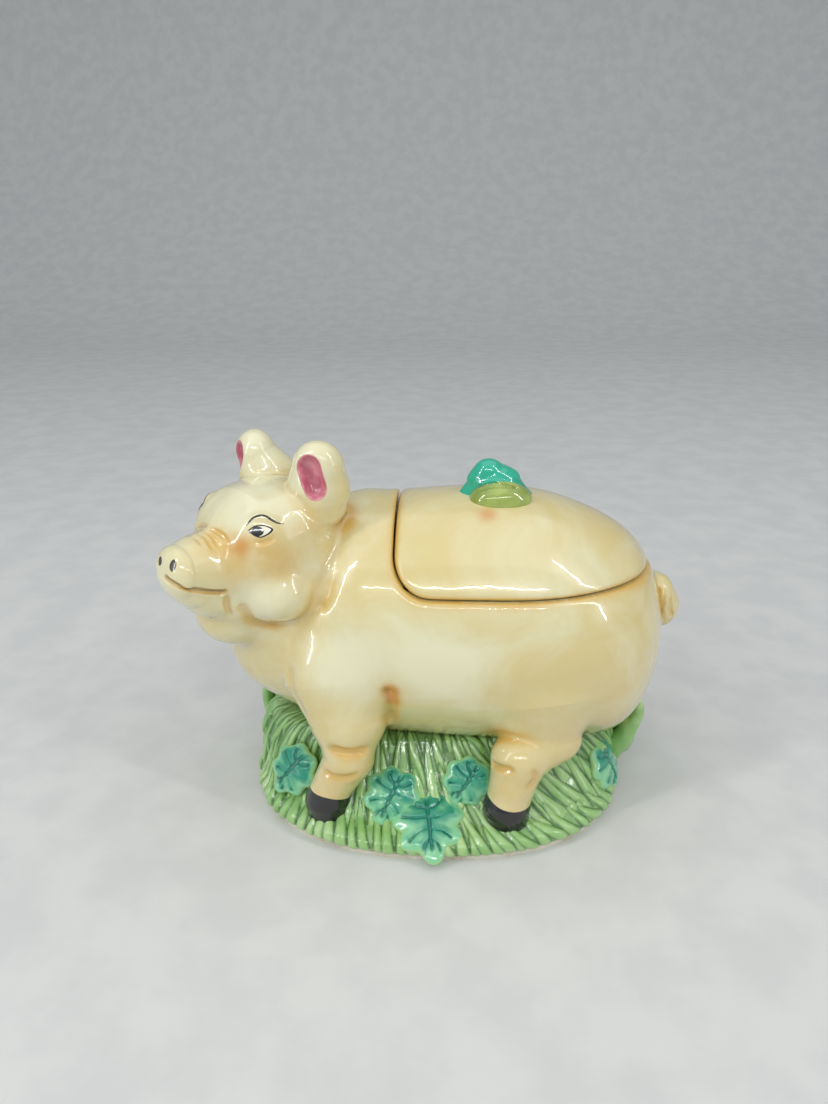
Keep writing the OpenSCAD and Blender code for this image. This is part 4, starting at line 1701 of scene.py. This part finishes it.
    def build(self) -> None:
        """Paints both eyes, the brows and the nostrils."""
        black = Enamel("black_enamel", "0D0C0B", "2A2622").material()
        white = Enamel("white_enamel", "F3EBD2", "DCCFB0").material()
        glint = Enamel("glint_enamel", "CFC8B4", "B9B29C").material()
        grey = Enamel("grey_enamel", "4B463B", "6A6455", 0.3).material()
        for side in Side:
            flip = -side.value
            name = side.name.lower()

            def turned(path: Sequence[Point]) -> tuple[Point, ...]:
                """The path on this side of the head."""
                return tuple((x, y * flip, z) for x, y, z in path)

            for part, skin, paint in (
                ("outline", self.patch(turned(self.almond), 1.08, 0.1), black),
                ("white", self.patch(turned(self.almond), 0.88, 0.2), white),
                ("iris", self.patch(turned(self.iris), 0.96, 0.32), black),
                ("glint", self.patch(turned(self.glint), 0.75, 0.42), glint),
                ("brow", self.ribbon(turned(self.brow), 0.7, 0.1), black),
            ):
                skin.piece(f"eye_{name}_{part}", "jar", [], "cream_glaze", paint)
        for name, outline in (("near", self.nostril_near), ("far", self.nostril_far)):
            self.patch(outline, 1.0, 0.08).piece(f"nostril_{name}", "jar", [], "cream_glaze", grey)


# ---------------------------------------------------------------- the studio


@dataclass
class Studio:
    """Pale floor, soft lights and the camera."""

    eye: Point = (6.35, -274.04, 200.0)
    pitch: float = 21.8
    yaw: float = 3.0
    roll: float = 0.8
    lens: float = 27.0

    def light(self, name: str, at: Point, aim: Point, size: tuple[float, float], watts: float) -> None:
        """Hangs one soft rectangular light.

        Args:
            name: Its name.
            at: Where it hangs, in metres.
            aim: What it faces, in metres.
            size: Its width and height, in metres.
            watts: Its power.
        """
        lamp = bpy.data.lights.new(name, "AREA")
        lamp.shape, lamp.size, lamp.size_y, lamp.energy = "RECTANGLE", *size, watts
        hung = bpy.data.objects.new(name, lamp)
        hung.location = at
        hung.rotation_euler = (Vector(aim) - Vector(at)).to_track_quat("-Z", "Y").to_euler()
        bpy.context.scene.collection.objects.link(hung)

    def floor(self) -> None:
        """Lays the pale floor, which sweeps up behind."""
        low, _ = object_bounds()
        line = [(-3.0, 0.0), (1.2, 0.0)]
        line += [(1.2 + 0.8 * math.sin(a), 0.8 - 0.8 * math.cos(a)) for a in np.linspace(0.1, math.pi / 2, 12)]
        line += [(2.0, 4.0)]
        points = [(x, y, z + low.z) for y, z in line for x in (-5.0, 5.0)]
        faces = [(2 * i, 2 * i + 1, 2 * i + 3, 2 * i + 2) for i in range(len(line) - 1)]
        mesh = bpy.data.meshes.new("studio_floor")
        mesh.from_pydata(points, [], faces)
        mesh.shade_smooth()
        bench = Bench("floor_paper")
        grain = bench.noise(40, 3)
        tone = bench.mix(srgb("D9D9D6"), srgb("D2D2D0"), bench.ramp(grain, 0.35, 0.65))
        mesh.materials.append(bench.glaze(tone, 0.8, Gloss(coat=0.0), None))
        sheet = bpy.data.objects.new("studio_floor", mesh)
        bpy.context.scene.collection.objects.link(sheet)
        sheet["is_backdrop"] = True

    def build(self) -> None:
        """Sets out the studio."""
        scene = bpy.context.scene
        data = bpy.data.cameras.new("camera")
        data.lens, data.sensor_width, data.sensor_fit = self.lens, 36.0, "AUTO"
        data.clip_start, data.clip_end = 0.01, 20
        camera = bpy.data.objects.new("camera", data)
        pitch, yaw, roll = (math.radians(v) for v in (self.pitch, self.yaw, self.roll))
        ahead = Vector((-math.sin(yaw) * math.cos(pitch), math.cos(yaw) * math.cos(pitch), -math.sin(pitch)))
        right = ahead.cross(Vector((0, 0, 1))).normalized()
        up = right.cross(ahead)
        across = math.cos(roll) * right - math.sin(roll) * up
        upward = math.sin(roll) * right + math.cos(roll) * up
        camera.matrix_world = Matrix.Translation(Vector(self.eye) * MM) @ Matrix((across, upward, -ahead)).transposed().to_4x4()
        scene.collection.objects.link(camera)
        scene.camera = camera
        scene.view_settings.view_transform = "Standard"
        self.floor()
        self.light("overhead_soft", (0.0, 0.0, 1.3), (0, 0, 0.05), (1.8, 1.4), 4.6)
        self.light("left_strip", (-0.62, -0.42, 0.5), (0, 0, 0.07), (0.016, 0.8), 2.0)
        self.light("right_strip", (0.66, -0.36, 0.55), (0, 0, 0.07), (0.012, 0.8), 1.5)
        self.light("front_strip", (0.0, -0.62, 0.62), (0, 0, 0.07), (0.8, 0.01), 1.4)
        world = bpy.data.worlds.new("studio_air")
        world.use_nodes = True
        world.node_tree.nodes["Background"].inputs[0].default_value = (0.8, 0.85, 0.9, 1)
        world.node_tree.nodes["Background"].inputs[1].default_value = 0.55
        scene.world = world


def main() -> None:
    """Builds the jar, its lid, its foot and the studio, in that order."""
    logging.basicConfig(level=logging.INFO, format="%(message)s")
    cream = CreamGlaze().material()
    pig = Pig()
    pig.build(cream)
    Lid(pig).build(cream, KnobGlaze().material())
    Face(pig).build()
    grass = GrassGlaze().material()
    Bank().build(grass, BareClay().material())
    EndGrass("rump_grass", 66, 75, (-6, 0, 6, 12, 18), 28).build(grass)
    EndGrass("chest_grass", -62, -67, (6, 12, 18, 24), 26).build(grass)
    Leaves().build(LeafGlaze().material())
    Studio().build()


if __name__ == "__main__":
    main()
